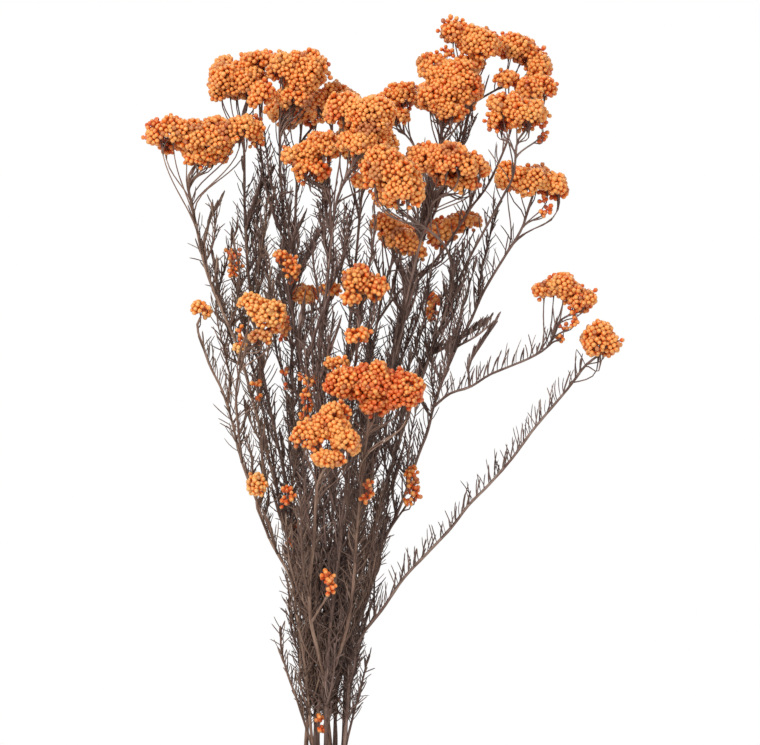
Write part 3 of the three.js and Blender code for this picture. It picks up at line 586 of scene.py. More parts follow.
class BunchLayout:
    """Where every stem, arm and head stands, once those that would cross have eased apart."""

    def __init__(self, sprays: Sequence[Spray], sprigs: Sequence[tuple[str, Arm]]) -> None:
        """Lays out the sprays, settles them and then adds the sprigs.

        Args:
            sprays: the cut stems with their arms.
            sprigs: small arms that are added after the settling, with the spray that carries each.
        """
        self.limbs: list[Limb] = []
        for spray in sprays:
            self._add_spray(spray)
        self._settle()
        for spray_name, arm in sprigs:
            self._add_arm(spray_name, arm)

    @property
    def heads(self) -> list[Head]:
        """Every flower head in the order of the limbs."""
        return [limb.head for limb in self.limbs if limb.head]

    def of_spray(self, name: str) -> list[Limb]:
        """The limbs of one spray, the main stem first."""
        return [limb for limb in self.limbs if limb.spray == name]

    def _add_spray(self, spray: Spray) -> None:
        """Adds a spray's main stem and its arms.

        Args:
            spray: the cut stem.
        """
        across, back = spray.mouth
        cos, sin = math.cos(FOOT_TURN) * FOOT_SPREAD, math.sin(FOOT_TURN) * FOOT_SPREAD
        foot_height = FLOOR_THICKNESS + FOOT_GAP
        foot = np.array([across * cos - back * sin, across * sin + back * cos, foot_height])
        named = [np.array([across, back, VASE_HEIGHT + 1]), *map(lifted, spray.line)]
        free = split_long(named)
        anchors = [
            1 + min(range(len(free)), key=lambda number: float(length_of(free[number] - point)))
            for point in named
        ]
        head = self._head(spray.name, "", spray.lobes)
        self.limbs.append(Limb(spray.name, "main", np.array([foot, *free]), spray.radius, 2, anchors, head))
        for arm in spray.arms:
            self._add_arm(spray.name, arm)

    def _add_arm(self, spray_name: str, arm: Arm) -> None:
        """Adds an arm that grows from a limb which is already there.

        Args:
            spray_name: the spray that carries it.
            arm: the side branch.
        """
        parent = next(limb for limb in self.limbs if (limb.spray, limb.name) == (spray_name, arm.on))
        index = parent.anchors[arm.at]
        points = np.array([parent.points[index], *map(lifted, arm.line)])
        head = self._head(spray_name, arm.name, arm.lobes) if arm.lobes else None
        anchors = list(range(len(points)))
        self.limbs.append(Limb(spray_name, arm.name, points, arm.radius, 1, anchors, head, parent, index))

    @staticmethod
    def _head(spray_name: str, limb_name: str, lobes: Sequence[LobeSize]) -> Head:
        """A head from its lobes' sizes.

        Args:
            spray_name: the spray that carries it.
            limb_name: the arm that carries it, or nothing for the main stem.
            lobes: each lobe as (across, back, up, wide, deep, tall).

        Returns:
            The head with its name.
        """
        name = f"head_{spray_name}_{limb_name}" if limb_name else f"head_{spray_name}"
        return Head(name, [lobe_of(lobe) for lobe in lobes])

    def _settle(self) -> None:
        """Eases neighbours apart, mostly to the front and back, in the same passes as the solids."""
        limbs = self.limbs
        rest = [limb.points.copy() for limb in limbs]
        moved = [np.zeros_like(limb.points) for limb in limbs]
        firsts = np.cumsum([0, *(len(limb.points) for limb in limbs)])
        segments = _Segments(limbs, firsts)
        lobe_pairs = self._near_lobes()
        for _ in range(SETTLE_PASSES):
            self._ease_heads(lobe_pairs)
            points = np.concatenate([limb.points for limb in limbs])
            pushes = np.zeros_like(points)
            segments.push_apart(points, pushes)
            segments.push_from_heads(points, pushes)
            for number, limb in enumerate(limbs):
                last = len(limb.points) - 1
                move = moved[number]
                move += pushes[firsts[number] : firsts[number + 1]]
                if limb.head:
                    move[last] = limb.head.shift
                before = move.copy()
                middle = slice(limb.fixed, last)
                move[middle] *= 1 - 2 * NEIGHBOUR_SHARE
                move[middle] += before[limb.fixed - 1 : last - 1] * NEIGHBOUR_SHARE
                move[middle] += before[limb.fixed + 1 : last + 1] * NEIGHBOUR_SHARE
                move[: limb.fixed] = 0
                limb.points = rest[number] + move
                if limb.parent:
                    limb.points[0] = limb.parent.points[limb.parent_index]

    def _near_lobes(self) -> list[tuple[Head, Lobe, Head, Lobe]]:
        """Pairs of lobes of different heads that may come to touch.

        Returns:
            Each pair as a head, its lobe, the other head and the other's lobe.
        """
        out = []
        for one, other in combinations(self.heads, 2):
            for lobe, other_lobe in product(one.lobes, other.lobes):
                reach = lobe.half.max() + other_lobe.half.max() + FARTHEST_MOVE
                if length_of(lobe.centre - other_lobe.centre) < reach:
                    out.append((one, lobe, other, other_lobe))
        return out

    @staticmethod
    def _ease_heads(pairs: list[tuple[Head, Lobe, Head, Lobe]]) -> None:
        """One pass in which heads that overlap move away from each other.

        Args:
            pairs: the pairs of lobes that may touch.
        """
        for one, lobe, other, other_lobe in pairs:
            away = lobe.centre + one.shift - other_lobe.centre - other.shift
            distance = math.hypot(*away)
            direction = away / distance
            reach = reach_towards(lobe.half, direction) + reach_towards(other_lobe.half, direction)
            need = reach + HEAD_ROOM
            if distance < need:
                push = direction * ((need - distance) * HEAD_EASE)
                push[[0, 2]] *= HEAD_SIDEWAYS
                one.shift += push
                other.shift -= push


class _Segments:
    """Every free segment of the limbs, for the pushes between them and away from the heads."""

    def __init__(self, limbs: list[Limb], firsts: Array) -> None:
        """Numbers the segments and lists the pairs that are near enough to matter.

        Args:
            limbs: every limb, in order.
            firsts: the number of each limb's first point among all points.
        """
        rows = [
            (firsts[number] + index, number, limb.radius_at(index))
            for number, limb in enumerate(limbs)
            for index in range(1 if limb.is_main else 0, len(limb.points) - 1)
        ]
        self.start = np.array([row[0] for row in rows])
        owner = np.array([row[1] for row in rows])
        self.radius = np.array([row[2] for row in rows])
        points = np.concatenate([limb.points for limb in limbs])
        middle = (points[self.start] + points[self.start + 1]) / 2
        reach = length_of(points[self.start + 1] - points[self.start]) / 2 + FARTHEST_MOVE
        spray = np.array([ord(limb.spray) for limb in limbs])[owner]
        one, other = np.triu_indices(len(rows), 1)
        near = length_of(middle[one] - middle[other]) < reach[one] + reach[other]
        kept = (spray[one] != spray[other]) & near
        self.pairs = one[kept], other[kept]
        self.heads = [limb.head for limb in limbs if limb.head]
        lobes = [(lobe, number) for number, head in enumerate(self.heads) for lobe in head.lobes]
        self.centre = np.array([lobe.centre for lobe, _ in lobes])
        self.half = np.array([lobe.half for lobe, _ in lobes])
        self.head_of_lobe = np.array([number for _, number in lobes])
        own = np.array([self.heads.index(limb.head) if limb.head else -1 for limb in limbs])[owner]
        distance = length_of(middle[:, None] - self.centre[None])
        close = distance < reach[:, None] + self.half.max(1)[None]
        self.head_pairs = np.nonzero(close & (own[:, None] != self.head_of_lobe[None]))

    def push_apart(self, points: Array, pushes: Array) -> None:
        """Adds the pushes between limbs of different sprays that are too near each other.

        Args:
            points: every limb's points, in order.
            pushes: the push on each point, which this adds to.
        """
        first, second = self.pairs
        one, two = self.start[first], self.start[second]
        one_share, two_share, away = nearest_of_segments(
            points[one], points[one + 1], points[two], points[two + 1]
        )
        need = self.radius[first] + self.radius[second] + STEM_ROOM
        distance = length_of(away)
        touching = distance < need
        away[distance < SAME_PLACE] = (0, 1, 0)
        push = unit(away) * ((need - distance) * STEM_EASE)[:, None]
        shares = (1 - one_share, one_share, two_share - 1, -two_share)
        for at, share in zip((one, one + 1, two, two + 1), shares):
            np.add.at(pushes, at[touching], (push * share[:, None])[touching])

    def push_from_heads(self, points: Array, pushes: Array) -> None:
        """Adds the pushes on limbs that pass through a head which isn't their own.

        Args:
            points: every limb's points, in order.
            pushes: the push on each point, which this adds to.
        """
        segment, lobe = self.head_pairs
        first = self.start[segment]
        shifts = np.array([head.shift for head in self.heads])[self.head_of_lobe[lobe]]
        half = self.half[lobe] + (self.radius[segment] + HEAD_ROOM)[:, None]
        centre = self.centre[lobe] + shifts
        start = (points[first] - centre) / half
        along = (points[first + 1] - centre) / half - start
        share = np.clip(-(start * along).sum(1) / (along * along).sum(1), 0, 1)
        nearest = start + along * share[:, None]
        depth = 1 - length_of(nearest)
        inside = depth > 0
        push = unit(nearest) * half * (depth * STEM_FROM_HEAD_EASE)[:, None]
        push[:, 2] *= STEM_UPWARD
        np.add.at(pushes, first[inside], (push * (1 - share)[:, None])[inside])
        np.add.at(pushes, first[inside] + 1, (push * share[:, None])[inside])


# Lines


def part_way(at: Array, low: float, high: float, start: Array, end: Array) -> Array:
    """The points between a start and an end, for places between a low and a high one."""
    return (high - at) / (high - low) * start + (at - low) / (high - low) * end


def smooth_line(points: Array, per_step: int = 10) -> Array:
    """A smooth curve through the points, finely cut.

    Args:
        points: the points that it passes through.
        per_step: how many pieces each stretch between two points gets.

    Returns:
        The curve's points.
    """
    padded = np.vstack([2 * points[0] - points[1], points, 2 * points[-1] - points[-2]])
    knots = np.concatenate([[0], np.cumsum(np.sqrt(length_of(np.diff(padded, axis=0))))])
    out = []
    for number in range(len(padded) - 3):
        before, low, high, after = knots[number : number + 4]
        previous, start, end, following = padded[number : number + 4]
        at = np.linspace(low, high, per_step, endpoint=False)[:, None]
        arriving = part_way(at, before, low, previous, start)
        straight = part_way(at, low, high, start, end)
        leaving = part_way(at, high, after, end, following)
        early = part_way(at, before, high, arriving, straight)
        late = part_way(at, low, after, straight, leaving)
        out.append(part_way(at, low, high, early, late))
    return np.vstack([*out, points[-1]])


def bowed_line(start: Array, along: Array, end: Array, arriving: Array, steps: int = 12) -> Array:
    """A curve that leaves its start in one direction and reaches its end in another.

    Args:
        start: the first point.
        along: the direction in which it leaves, as long as its pull.
        end: the last point.
        arriving: the direction in which it arrives, as long as its pull.
        steps: how many pieces it is cut into.

    Returns:
        The curve's points.
    """
    at = np.linspace(0, 1, steps + 1)[:, None]
    left = 1 - at
    one, two = start + along, end - arriving
    return left**3 * start + 3 * at * left**2 * one + 3 * at * at * left * two + at**3 * end


@dataclass
class Line:
    """A curve that can be read at any length along it."""

    points: Array

    def __post_init__(self) -> None:
        """Measures the curve."""
        steps = length_of(np.diff(self.points, axis=0))
        self.lengths = np.concatenate([[0], np.cumsum(steps)])
        self.total = float(self.lengths[-1])
        self.tangents = unit(np.gradient(self.points, axis=0))

    def at(self, lengths: Array | float) -> Array:
        """The points at these lengths."""
        read = [np.interp(lengths, self.lengths, self.points[:, axis]) for axis in range(3)]
        return np.stack(read, -1)

    def direction_at(self, lengths: Array | float) -> Array:
        """The directions at these lengths."""
        read = [np.interp(lengths, self.lengths, self.tangents[:, axis]) for axis in range(3)]
        return unit(np.stack(read, -1))

    def length_at_height(self, height: float) -> float:
        """The first length at which the curve is this high."""
        return float(self.lengths[np.argmax(self.points[:, 2] >= height)])


def line_of(limb: Limb) -> Line:
    """A limb's smooth line. Inside the vase the main stem stays straight.

    Args:
        limb: the main stem or arm.

    Returns:
        Its line.
    """
    points = limb.points
    if limb.is_main:
        inside = [points[0] + (points[1] - points[0]) * share for share in INSIDE_SHARES]
        points = np.vstack([inside, points[1:]])
    return Line(smooth_line(points))


# Modelling by hand: primitives shaped in edit mode


def start_clean() -> None:
    """Leaves edit mode and deselects everything, so that an operator acts on the new piece alone."""
    if bpy.context.object and bpy.context.object.mode != "OBJECT":
        bpy.ops.object.mode_set(mode="OBJECT")
    for one in list(bpy.context.selected_objects):
        one.select_set(False)


@contextmanager
def shaping(piece: Piece) -> Iterator[None]:
    """Edit mode on one piece, with its normals made to face outwards at the end.

    Args:
        piece: the piece to shape.

    Yields:
        Nothing, while the piece is in edit mode.
    """
    start_clean()
    piece.select_set(True)
    bpy.context.view_layer.objects.active = piece
    bpy.ops.object.mode_set(mode="EDIT")
    yield
    bpy.ops.mesh.select_all(action="SELECT")
    bpy.ops.mesh.normals_make_consistent(inside=False)
    bpy.ops.object.mode_set(mode="OBJECT")
    piece.select_set(False)


def select_points(piece: Piece, wanted: Callable[[Sequence[float]], bool]) -> None:
    """Selects the corners, and the faces between them, whose place passes a test.

    Args:
        piece: the piece, in edit mode.
        wanted: says whether a corner at this place is selected.
    """
    shape = bmesh.from_edit_mesh(piece.data)
    for part in (*shape.faces, *shape.edges, *shape.verts):
        part.select = False
    for corner in shape.verts:
        corner.select = wanted(corner.co)
    shape.select_flush(True)
    bmesh.update_edit_mesh(piece.data)


def raise_ring(height: float, girth: float, centre: Triple) -> None:
    """Extrudes the selected face upwards and then resizes it about its own middle."""
    bpy.ops.mesh.extrude_region_move(TRANSFORM_OT_translate={"value": (0, 0, height)})
    bpy.ops.transform.resize(value=(girth, girth, 1), center_override=centre)


@dataclass(frozen=True)
class Pattern:
    """A shape that was modelled once, as arrays that can be copied many times over."""

    vertices: Array
    corners: Array
    sizes: Array

    @classmethod
    def taken_from(cls, piece: Piece) -> "Pattern":
        """Reads a modelled piece and removes it from the scene.

        Args:
            piece: the finished shape.

        Returns:
            The shape as a pattern.
        """
        mesh = piece.data
        vertices = np.empty(len(mesh.vertices) * 3)
        mesh.vertices.foreach_get("co", vertices)
        corners = np.empty(len(mesh.loops), np.int64)
        mesh.loops.foreach_get("vertex_index", corners)
        sizes = np.array([len(face.vertices) for face in mesh.polygons], np.int64)
        bpy.data.objects.remove(piece)
        bpy.data.meshes.remove(mesh)
        return cls(vertices.reshape(-1, 3), corners, sizes)


@dataclass
class Copies:
    """Many laid copies of patterns that go into one mesh."""

    vertices: list[Array] = field(default_factory=list)
    corners: list[Array] = field(default_factory=list)
    sizes: list[Array] = field(default_factory=list)
    places: list[Array] = field(default_factory=list)
    shares: list[Array] = field(default_factory=list)
    count: int = 0

    def add(self, pattern: Pattern, vertices: Array, places: Array, shares: Array) -> None:
        """Adds one or more copies.

        Args:
            pattern: what was copied.
            vertices: where the corners came to lie, copies by corners by three.
            places: the coordinates that the finish's pattern reads, in the same order.
            shares: three shares that the finish reads, in the same order.
        """
        each = len(pattern.vertices)
        copies = len(vertices)
        offsets = self.count + each * np.arange(copies)[:, None]
        self.vertices.append(vertices.reshape(-1, 3))
        self.corners.append((pattern.corners[None] + offsets).ravel())
        self.sizes.append(np.tile(pattern.sizes, copies))
        self.places.append(places.reshape(-1, 3))
        self.shares.append(shares.reshape(-1, 3))
        self.count += each * copies

    def made_into(self, name: str) -> Piece:
        """One piece of all the copies, with its place in its mesh.

        Args:
            name: the piece's name.

        Returns:
            The piece, linked to the scene.
        """
        mesh = bpy.data.meshes.new(name)
        corners, sizes = np.concatenate(self.corners), np.concatenate(self.sizes)
        mesh.vertices.add(self.count)
        mesh.vertices.foreach_set("co", (np.concatenate(self.vertices) * MM).astype(np.float32).ravel())
        mesh.loops.add(len(corners))
        mesh.loops.foreach_set("vertex_index", corners.astype(np.int32))
        mesh.polygons.add(len(sizes))
        mesh.polygons.foreach_set("loop_start", (np.cumsum(sizes) - sizes).astype(np.int32))
        mesh.update(calc_edges=True)
        mesh.shade_smooth()
        place = mesh.attributes.new(PLACE, "FLOAT_VECTOR", "POINT")
        place.data.foreach_set("vector", np.concatenate(self.places).astype(np.float32).ravel())
        shares = np.ones((self.count, 4), np.float32)
        shares[:, :3] = np.concatenate(self.shares)
        colour = mesh.attributes.new(SHARES, "FLOAT_COLOR", "POINT")
        colour.data.foreach_set("color", shares.ravel())
        mesh.validate()
        piece = bpy.data.objects.new(name, mesh)
        bpy.context.collection.objects.link(piece)
        return piece


def frames_along(directions: Array, aside: Array) -> Array:
    """Right-handed frames whose third axis is each direction and whose second is nearest to aside.

    Args:
        directions: the third axes.
        aside: where the second axes should point.

    Returns:
        For each direction three rows: across, aside and along.
    """
    along = unit(directions)
    second = unit(aside - along * (aside * along).sum(-1)[..., None])
    return np.stack([np.cross(second, along), second, along], -2)


def laid_on(pattern: Pattern, spots: Array, frames: Array, sizes: Array) -> Array:
    """Copies of a pattern, sized, turned and moved.

    Args:
        pattern: what is copied.
        spots: where each copy's origin goes.
        frames: each copy's three axes.
        sizes: each copy's size along those axes.

    Returns:
        The copies' corners, copies by corners by three.
    """
    local = pattern.vertices[None] * sizes[:, None, :]
    return np.einsum("nvk,nkc->nvc", local, frames) + spots[:, None, :]


# The shapes that repeat


@dataclass(frozen=True)
class BudForm:
    """A closed flower bud, one wide: papery scales over a round body, drawn in to a small mouth."""

    sides: int = 7
    rings: int = 5
    height: float = 1.12
    shoulder: float = 1.06
    shoulder_heights: Pair = (0.1, 0.35)
    foot: float = 0.8
    foot_heights: Pair = (-0.5, -0.35)
    mouth_height: float = 0.5
    mouth_depth: float = 0.045

    def model(self) -> Pattern:
        """Models the bud, with its foot at the origin and its mouth up.

        Returns:
            The bud's pattern.
        """
        start_clean()
        bpy.ops.mesh.primitive_uv_sphere_add(segments=self.sides, ring_count=self.rings, radius=0.5)
        bud = bpy.context.object
        with shaping(bud):
            bpy.ops.mesh.select_all(action="SELECT")
            bpy.ops.transform.resize(value=(1, 1, self.height), center_override=(0, 0, 0))
            for girth, reach in ((self.shoulder, self.shoulder_heights), (self.foot, self.foot_heights)):
                select_points(bud, lambda place: reach[0] < place[2] < reach[1])
                bpy.ops.transform.resize(value=(girth, girth, 1), center_override=(0, 0, 0))
            select_points(bud, lambda place: place[2] > self.mouth_height)
            bpy.ops.transform.translate(value=(0, 0, -self.mouth_depth))
            bpy.ops.mesh.select_all(action="SELECT")
            bpy.ops.transform.translate(value=(0, 0, self.height / 2))
        return Pattern.taken_from(bud)


@dataclass(frozen=True)
class LeafForm:
    """A needle leaf, one long and one wide: narrow at its foot, flat, with a blunt tip."""

    sides: int = 4
    thickness: float = 0.72
    girths: tuple[Pair, ...] = ((0.0, 0.5), (0.12, 0.8), (0.36, 1.0), (0.64, 1.0), (0.9, 0.82))

    def model(self) -> Pattern:
        """Models the leaf, standing up from the origin.

        Returns:
            The leaf's pattern.
        """
        start_clean()
        radius = self.girths[0][1] / 2
        bpy.ops.mesh.primitive_circle_add(vertices=self.sides, radius=radius, fill_type="NGON")
        leaf = bpy.context.object
        with shaping(leaf):
            bpy.ops.mesh.select_all(action="SELECT")
            bpy.ops.transform.resize(value=(1, self.thickness, 1), center_override=(0, 0, 0))
            for (below, narrow), (height, wide) in zip(self.girths, self.girths[1:]):
                raise_ring(height - below, wide / narrow, (0, 0, height))
            tip = (0, 0, 1 - self.girths[-1][0])
            bpy.ops.mesh.extrude_region_move(TRANSFORM_OT_translate={"value": tip})
            bpy.ops.mesh.merge(type="CENTER")
        return Pattern.taken_from(leaf)


@dataclass(frozen=True)
class RodForm:
    """A straight length of round wood: radius one, one high for each ring, with a knot now and then."""

    sides: int
    rings: int
    knot_every: int = 5
    knot: float = 1.13
    tip: float = 0.5

    def model(self) -> Pattern:
        """Models the rod, standing up from the origin, with a rounded tip.

        Returns:
            The rod's pattern.
        """
        start_clean()
        bpy.ops.mesh.primitive_circle_add(vertices=self.sides, radius=1, fill_type="NGON")
        rod = bpy.context.object
        with shaping(rod):
            bpy.ops.mesh.select_all(action="SELECT")
            girth = 1.0
            for ring in range(1, self.rings + 1):
                wanted = self.knot if ring % self.knot_every == 0 else 1.0
                raise_ring(1, wanted / girth, (0, 0, ring))
                girth = wanted
            bpy.ops.mesh.extrude_region_move(TRANSFORM_OT_translate={"value": (0, 0, self.tip)})
            bpy.ops.mesh.merge(type="CENTER")
        return Pattern.taken_from(rod)


class Workshop:
    """The patterns that repeat, each modelled when it is first asked for and then kept."""

    flare_reach: float = 4.0
    bark_shift: Triple = (7.0, 3.0, 0.0)

    def __init__(self) -> None:
        """Models the bud and the leaf."""
        self.bud = BudForm().model()
        self.leaf = LeafForm().model()
        self._rods: dict[tuple[int, int], Pattern] = {}

    def rod(self, sides: int, rings: int) -> Pattern:
        """A rod, modelled if there is none like it yet.

        Args:
            sides: how many sides it has.
            rings: how many rings it has.

        Returns:
            The rod's pattern.
        """
        if (sides, rings) not in self._rods:
            self._rods[sides, rings] = RodForm(sides, rings).model()
        return self._rods[sides, rings]

    def lay_rod(self, copies: Copies, line: Array, radii: Pair, sides: int, rings: int, tone: float,
                flare: float = 0.0) -> None:
        """Lays one rod along a line.

        Args:
            copies: where the laid rod goes.
            line: the curve's points.
            radii: its radius at the start and the end.
            sides: how many sides it has.
            rings: how many rings it has.
            tone: how light its bark is, from 0 to 1.
            flare: how much thicker it grows where it leaves its parent.
        """
        curve = Line(line)
        pattern = self.rod(sides, rings)
        at = np.linspace(0, curve.total, rings + 1)
        points, directions = curve.at(at), curve.direction_at(at)
        spread = np.abs(directions).mean(0)
        aside = np.zeros_like(points)
        aside[:, int(np.argmin(spread))] = 1
        frames = frames_along(directions, aside)
        share = at / curve.total
        flared = flare * radii[0] * np.exp(-at / (self.flare_reach * radii[0]))
        girth = radii[0] + (radii[1] - radii[0]) * share + flared
        local = pattern.vertices
        ring = np.minimum(np.round(local[:, 2]), rings).astype(int)
        beyond = np.maximum(local[:, 2] - rings, 0) / RodForm.tip * girth[-1]
        turned = frames[ring, 0] * local[:, :1] + frames[ring, 1] * local[:, 1:2]
        vertices = points[ring] + turned * girth[ring, None] + frames[ring, 2] * beyond[:, None]
        wood = np.stack([local[:, 0] * girth[ring], local[:, 1] * girth[ring], at[ring]], -1)
        wood += points[0] * self.bark_shift
        copies.add(pattern, vertices[None], wood, np.full((len(ring), 3), tone))


# Finishes


def paint(red: int, green: int, blue: int) -> tuple[float, float, float, float]:
    """A colour as it shows on a screen, as the light that it stands for.

    Args:
        red: its red, from 0 to 255.
        green: its green.
        blue: its blue.

    Returns:
        Its red, green and blue light and a full alpha.
    """

    def light(value: int) -> float:
        """The light of one channel."""
        share = value / 255
        return share / 12.92 if share <= 0.04045 else ((share + 0.055) / 1.055) ** 2.4

    return (light(red), light(green), light(blue), 1.0)


Colour = tuple[float, float, float, float]
Socket = bpy.types.NodeSocket

# Where a cloudy noise keeps most of its values
CLOUDY: Pair = (0.3, 0.7)


class Recipe:
    """A material's nodes, added one after another."""

    def __init__(self, name: str) -> None:
        """Starts with the plain shader.

        Args:
            name: the material's name.
        """
        self.material = bpy.data.materials.new(name)
        self.material.use_nodes = True
        self.nodes = self.material.node_tree.nodes
        self.links = self.material.node_tree.links
        self.shader = self.nodes["Principled BSDF"]

    def node(
        self, kind: str, inputs: dict[int | str, object] | None = None, **settings: object
    ) -> bpy.types.Node:
        """Adds a node.

        Args:
            kind: the node's type.
            inputs: for each input a socket to link or a value to set.
            settings: the node's own settings.

        Returns:
            The node.
        """
        made = self.nodes.new(kind)
        for name, value in settings.items():
            setattr(made, name, value)
        for key, value in (inputs or {}).items():
            if isinstance(value, bpy.types.NodeSocket):
                self.links.new(value, made.inputs[key])
            else:
                made.inputs[key].default_value = value
        return made

    def own_place(self) -> Socket:
        """Each copy's own coordinates."""
        return self.node("ShaderNodeAttribute", attribute_name=PLACE).outputs["Vector"]

    def shares(self) -> list[Socket]:
        """The three shares that each copy carries."""
        read = self.node("ShaderNodeAttribute", attribute_name=SHARES).outputs["Color"]
        return list(self.node("ShaderNodeSeparateColor", {0: read}).outputs)

    def object_place(self) -> Socket:
        """The coordinates on the object."""
        return self.node("ShaderNodeTexCoord").outputs["Object"]

    def stretched(self, place: Socket, scale: Triple) -> Socket:
        """Coordinates with each axis scaled."""
        return self.node("ShaderNodeMapping", {"Vector": place, "Scale": scale}).outputs[0]

    def noise(self, place: Socket, scale: float, detail: float = 3, roughness: float = 0.55) -> Socket:
        """Cloudy noise between 0 and 1."""
        inputs = {"Vector": place, "Scale": scale, "Detail": detail, "Roughness": roughness}
        return self.node("ShaderNodeTexNoise", inputs).outputs[0]

    def cells(self, place: Socket, scale: float, feature: str = "F1") -> Socket:
        """The distance to the nearest of scattered points."""
        inputs = {"Vector": place, "Scale": scale}
        return self.node("ShaderNodeTexVoronoi", inputs, feature=feature).outputs["Distance"]

    def spread(
        self, value: Socket, from_range: Pair, to_range: Pair = (0.0, 1.0), smooth: bool = True
    ) -> Socket:
        """A value moved from one range to another and kept within it.

        Args:
            value: the value.
            from_range: the range that it comes from.
            to_range: the range that it is moved to.
            smooth: whether it eases in and out at the ends.

        Returns:
            The moved value.
        """
        inputs = {0: value, 1: from_range[0], 2: from_range[1], 3: to_range[0], 4: to_range[1]}
        kind = "SMOOTHSTEP" if smooth else "LINEAR"
        return self.node("ShaderNodeMapRange", inputs, interpolation_type=kind, clamp=True).outputs[0]

    def sum_of(self, one: Socket, other: Socket | float, share: float = 1.0) -> Socket:
        """One value plus a share of another."""
        inputs = {0: other, 1: share, 2: one}
        return self.node("ShaderNodeMath", inputs, operation="MULTIPLY_ADD").outputs[0]

    def product(self, one: Socket, other: Socket | float) -> Socket:
        """Two values multiplied."""
        return self.node("ShaderNodeMath", {0: one, 1: other}, operation="MULTIPLY").outputs[0]

    def blend(self, share: Socket | float, low: Socket | Colour, high: Socket | Colour) -> Socket:
        """A mix of two colours: none of the second at a share of 0, all of it at 1."""
        inputs = {0: share, 6: low, 7: high}
        return self.node("ShaderNodeMix", inputs, data_type="RGBA", clamp_factor=True).outputs[2]

    def ramp(self, share: Socket, stops: Sequence[tuple[float, Colour]]) -> Socket:
        """Colours along a value.

        Args:
            share: the value.
            stops: where on it each colour is.

        Returns:
            The colour.
        """
        made = self.node("ShaderNodeValToRGB", {0: share})
        elements = made.color_ramp.elements
        while len(elements) < len(stops):
            elements.new(0.5)
        for element, (place, colour) in zip(elements, stops):
            element.position, element.color = place, colour
        return made.outputs[0]

    def finish(self, colour: Socket, roughness: Socket, height: Socket, depth: float,
               **values: float) -> Material:
        """Links colour, roughness and relief to the shader.

        Args:
            colour: the base colour.
            roughness: the roughness.
            height: the relief, from 0 to 1.
            depth: how deep the relief is, in metres.
            values: plain values for the shader's own inputs, with _ for each space in a name.

        Returns:
            The material.
        """
        relief = self.node("ShaderNodeBump", {"Height": height, "Distance": depth, "Strength": 1.0})
        self.links.new(colour, self.shader.inputs["Base Color"])
        self.links.new(roughness, self.shader.inputs["Roughness"])
        self.links.new(relief.outputs[0], self.shader.inputs["Normal"])
        for name, value in values.items():
            self.shader.inputs[name.replace("_", " ")].default_value = value
        return self.material


@dataclass(frozen=True)
class BudFinish:
    """Dyed papery buds: glowing orange, paler at the tip (their bracts and a painted highlight), deeper at
    the foot (painted shade), a few dried brown.
    """

    name: str
    deep: Colour
    middle: Colour
    pale: Colour
    # foot: a deeper orange painted low on each bud as shade where the buds crowd; the scale edges are drawn
    # in it too
    foot: Colour = paint(226, 78, 4)
    dried: Colour = paint(178, 104, 68)
    # The tip's pale blend is partly the bracts' own paler colour and partly a painted highlight
    tip_and_painted_highlight_heights: Pair = (0.6, 1.02)
    foot_heights: Pair = (0.42, 0.02)
    scale_edge: float = 0.07
    scale_relief: float = 0.22
    roughness: Pair = (0.26, 0.42)
    relief: float = 0.00018
    shine: float = 0.68

    def material(self) -> Material:
        """Builds the material.

        Returns:
            The material.
        """
        made = Recipe(self.name)
        tone, height, dried = made.shares()
        place = made.own_place()
        mottle = made.noise(place, 5.0, 3)
        tone = made.sum_of(tone, made.spread(mottle, CLOUDY, (-0.12, 0.12)))
        colour = made.ramp(tone, ((0.05, self.deep), (0.5, self.middle), (0.95, self.pale)))
        # Painted highlight: each bud's tip blends towards the pale colour, less on the deeper buds
        tip = made.spread(height, self.tip_and_painted_highlight_heights, (0.0, 0.95))
        tip = made.product(tip, made.spread(tone, (-0.15, 0.3), (0.3, 1.0)))
        colour = made.blend(tip, colour, self.pale)
        # Painted shade: the foot of each bud blends towards the deeper foot colour
        foot = made.spread(height, self.foot_heights, (0.0, 0.8))
        colour = made.blend(foot, colour, self.foot)
        scales = made.cells(made.stretched(place, (1.6, 1.6, 1.0)), 1.5, "DISTANCE_TO_EDGE")
        edge = made.spread(scales, (self.scale_edge, 0.0), (0.0, 0.3))
        colour = made.blend(edge, colour, self.foot)
        colour = made.blend(made.product(dried, 0.85), colour, self.dried)
        roughness = made.spread(mottle, CLOUDY, self.roughness)
        relief = made.sum_of(made.spread(scales, (0.0, self.scale_relief)), made.noise(place, 22.0, 2), 0.2)
        return made.finish(colour, roughness, relief, self.relief, Specular_IOR_Level=self.shine)


@dataclass(frozen=True)
class BarkFinish:
    """Dry bark: fine grain along the wood, paler where it has rubbed, darker in its cracks."""

    name: str
    crack: Colour
    middle: Colour
    rubbed: Colour
    fibre_stretch: Triple = (1.0, 1.0, 0.08)
    patch_stretch: Triple = (0.3, 0.3, 0.05)
    roughness: Pair = (0.9, 0.68)
    relief: float = 0.00035
    shine: float = 0.3

    def material(self) -> Material:
        """Builds the material.

        Returns:
            The material.
        """
        made = Recipe(self.name)
        tone, _, _ = made.shares()
        place = made.own_place()
        fibres = made.noise(made.stretched(place, self.fibre_stretch), 2.2, 5, 0.65)
        patches = made.noise(made.stretched(place, self.patch_stretch), 0.9, 3)
        value = made.sum_of(tone, made.spread(fibres, CLOUDY, (-0.3, 0.3), False))
        value = made.sum_of(value, made.spread(patches, CLOUDY, (-0.25, 0.25)))
        colour = made.ramp(value, ((0.0, self.crack), (0.5, self.middle), (1.0, self.rubbed)))
        roughness = made.spread(fibres, CLOUDY, self.roughness)
        return made.finish(colour, roughness, fibres, self.relief, Specular_IOR_Level=self.shine)


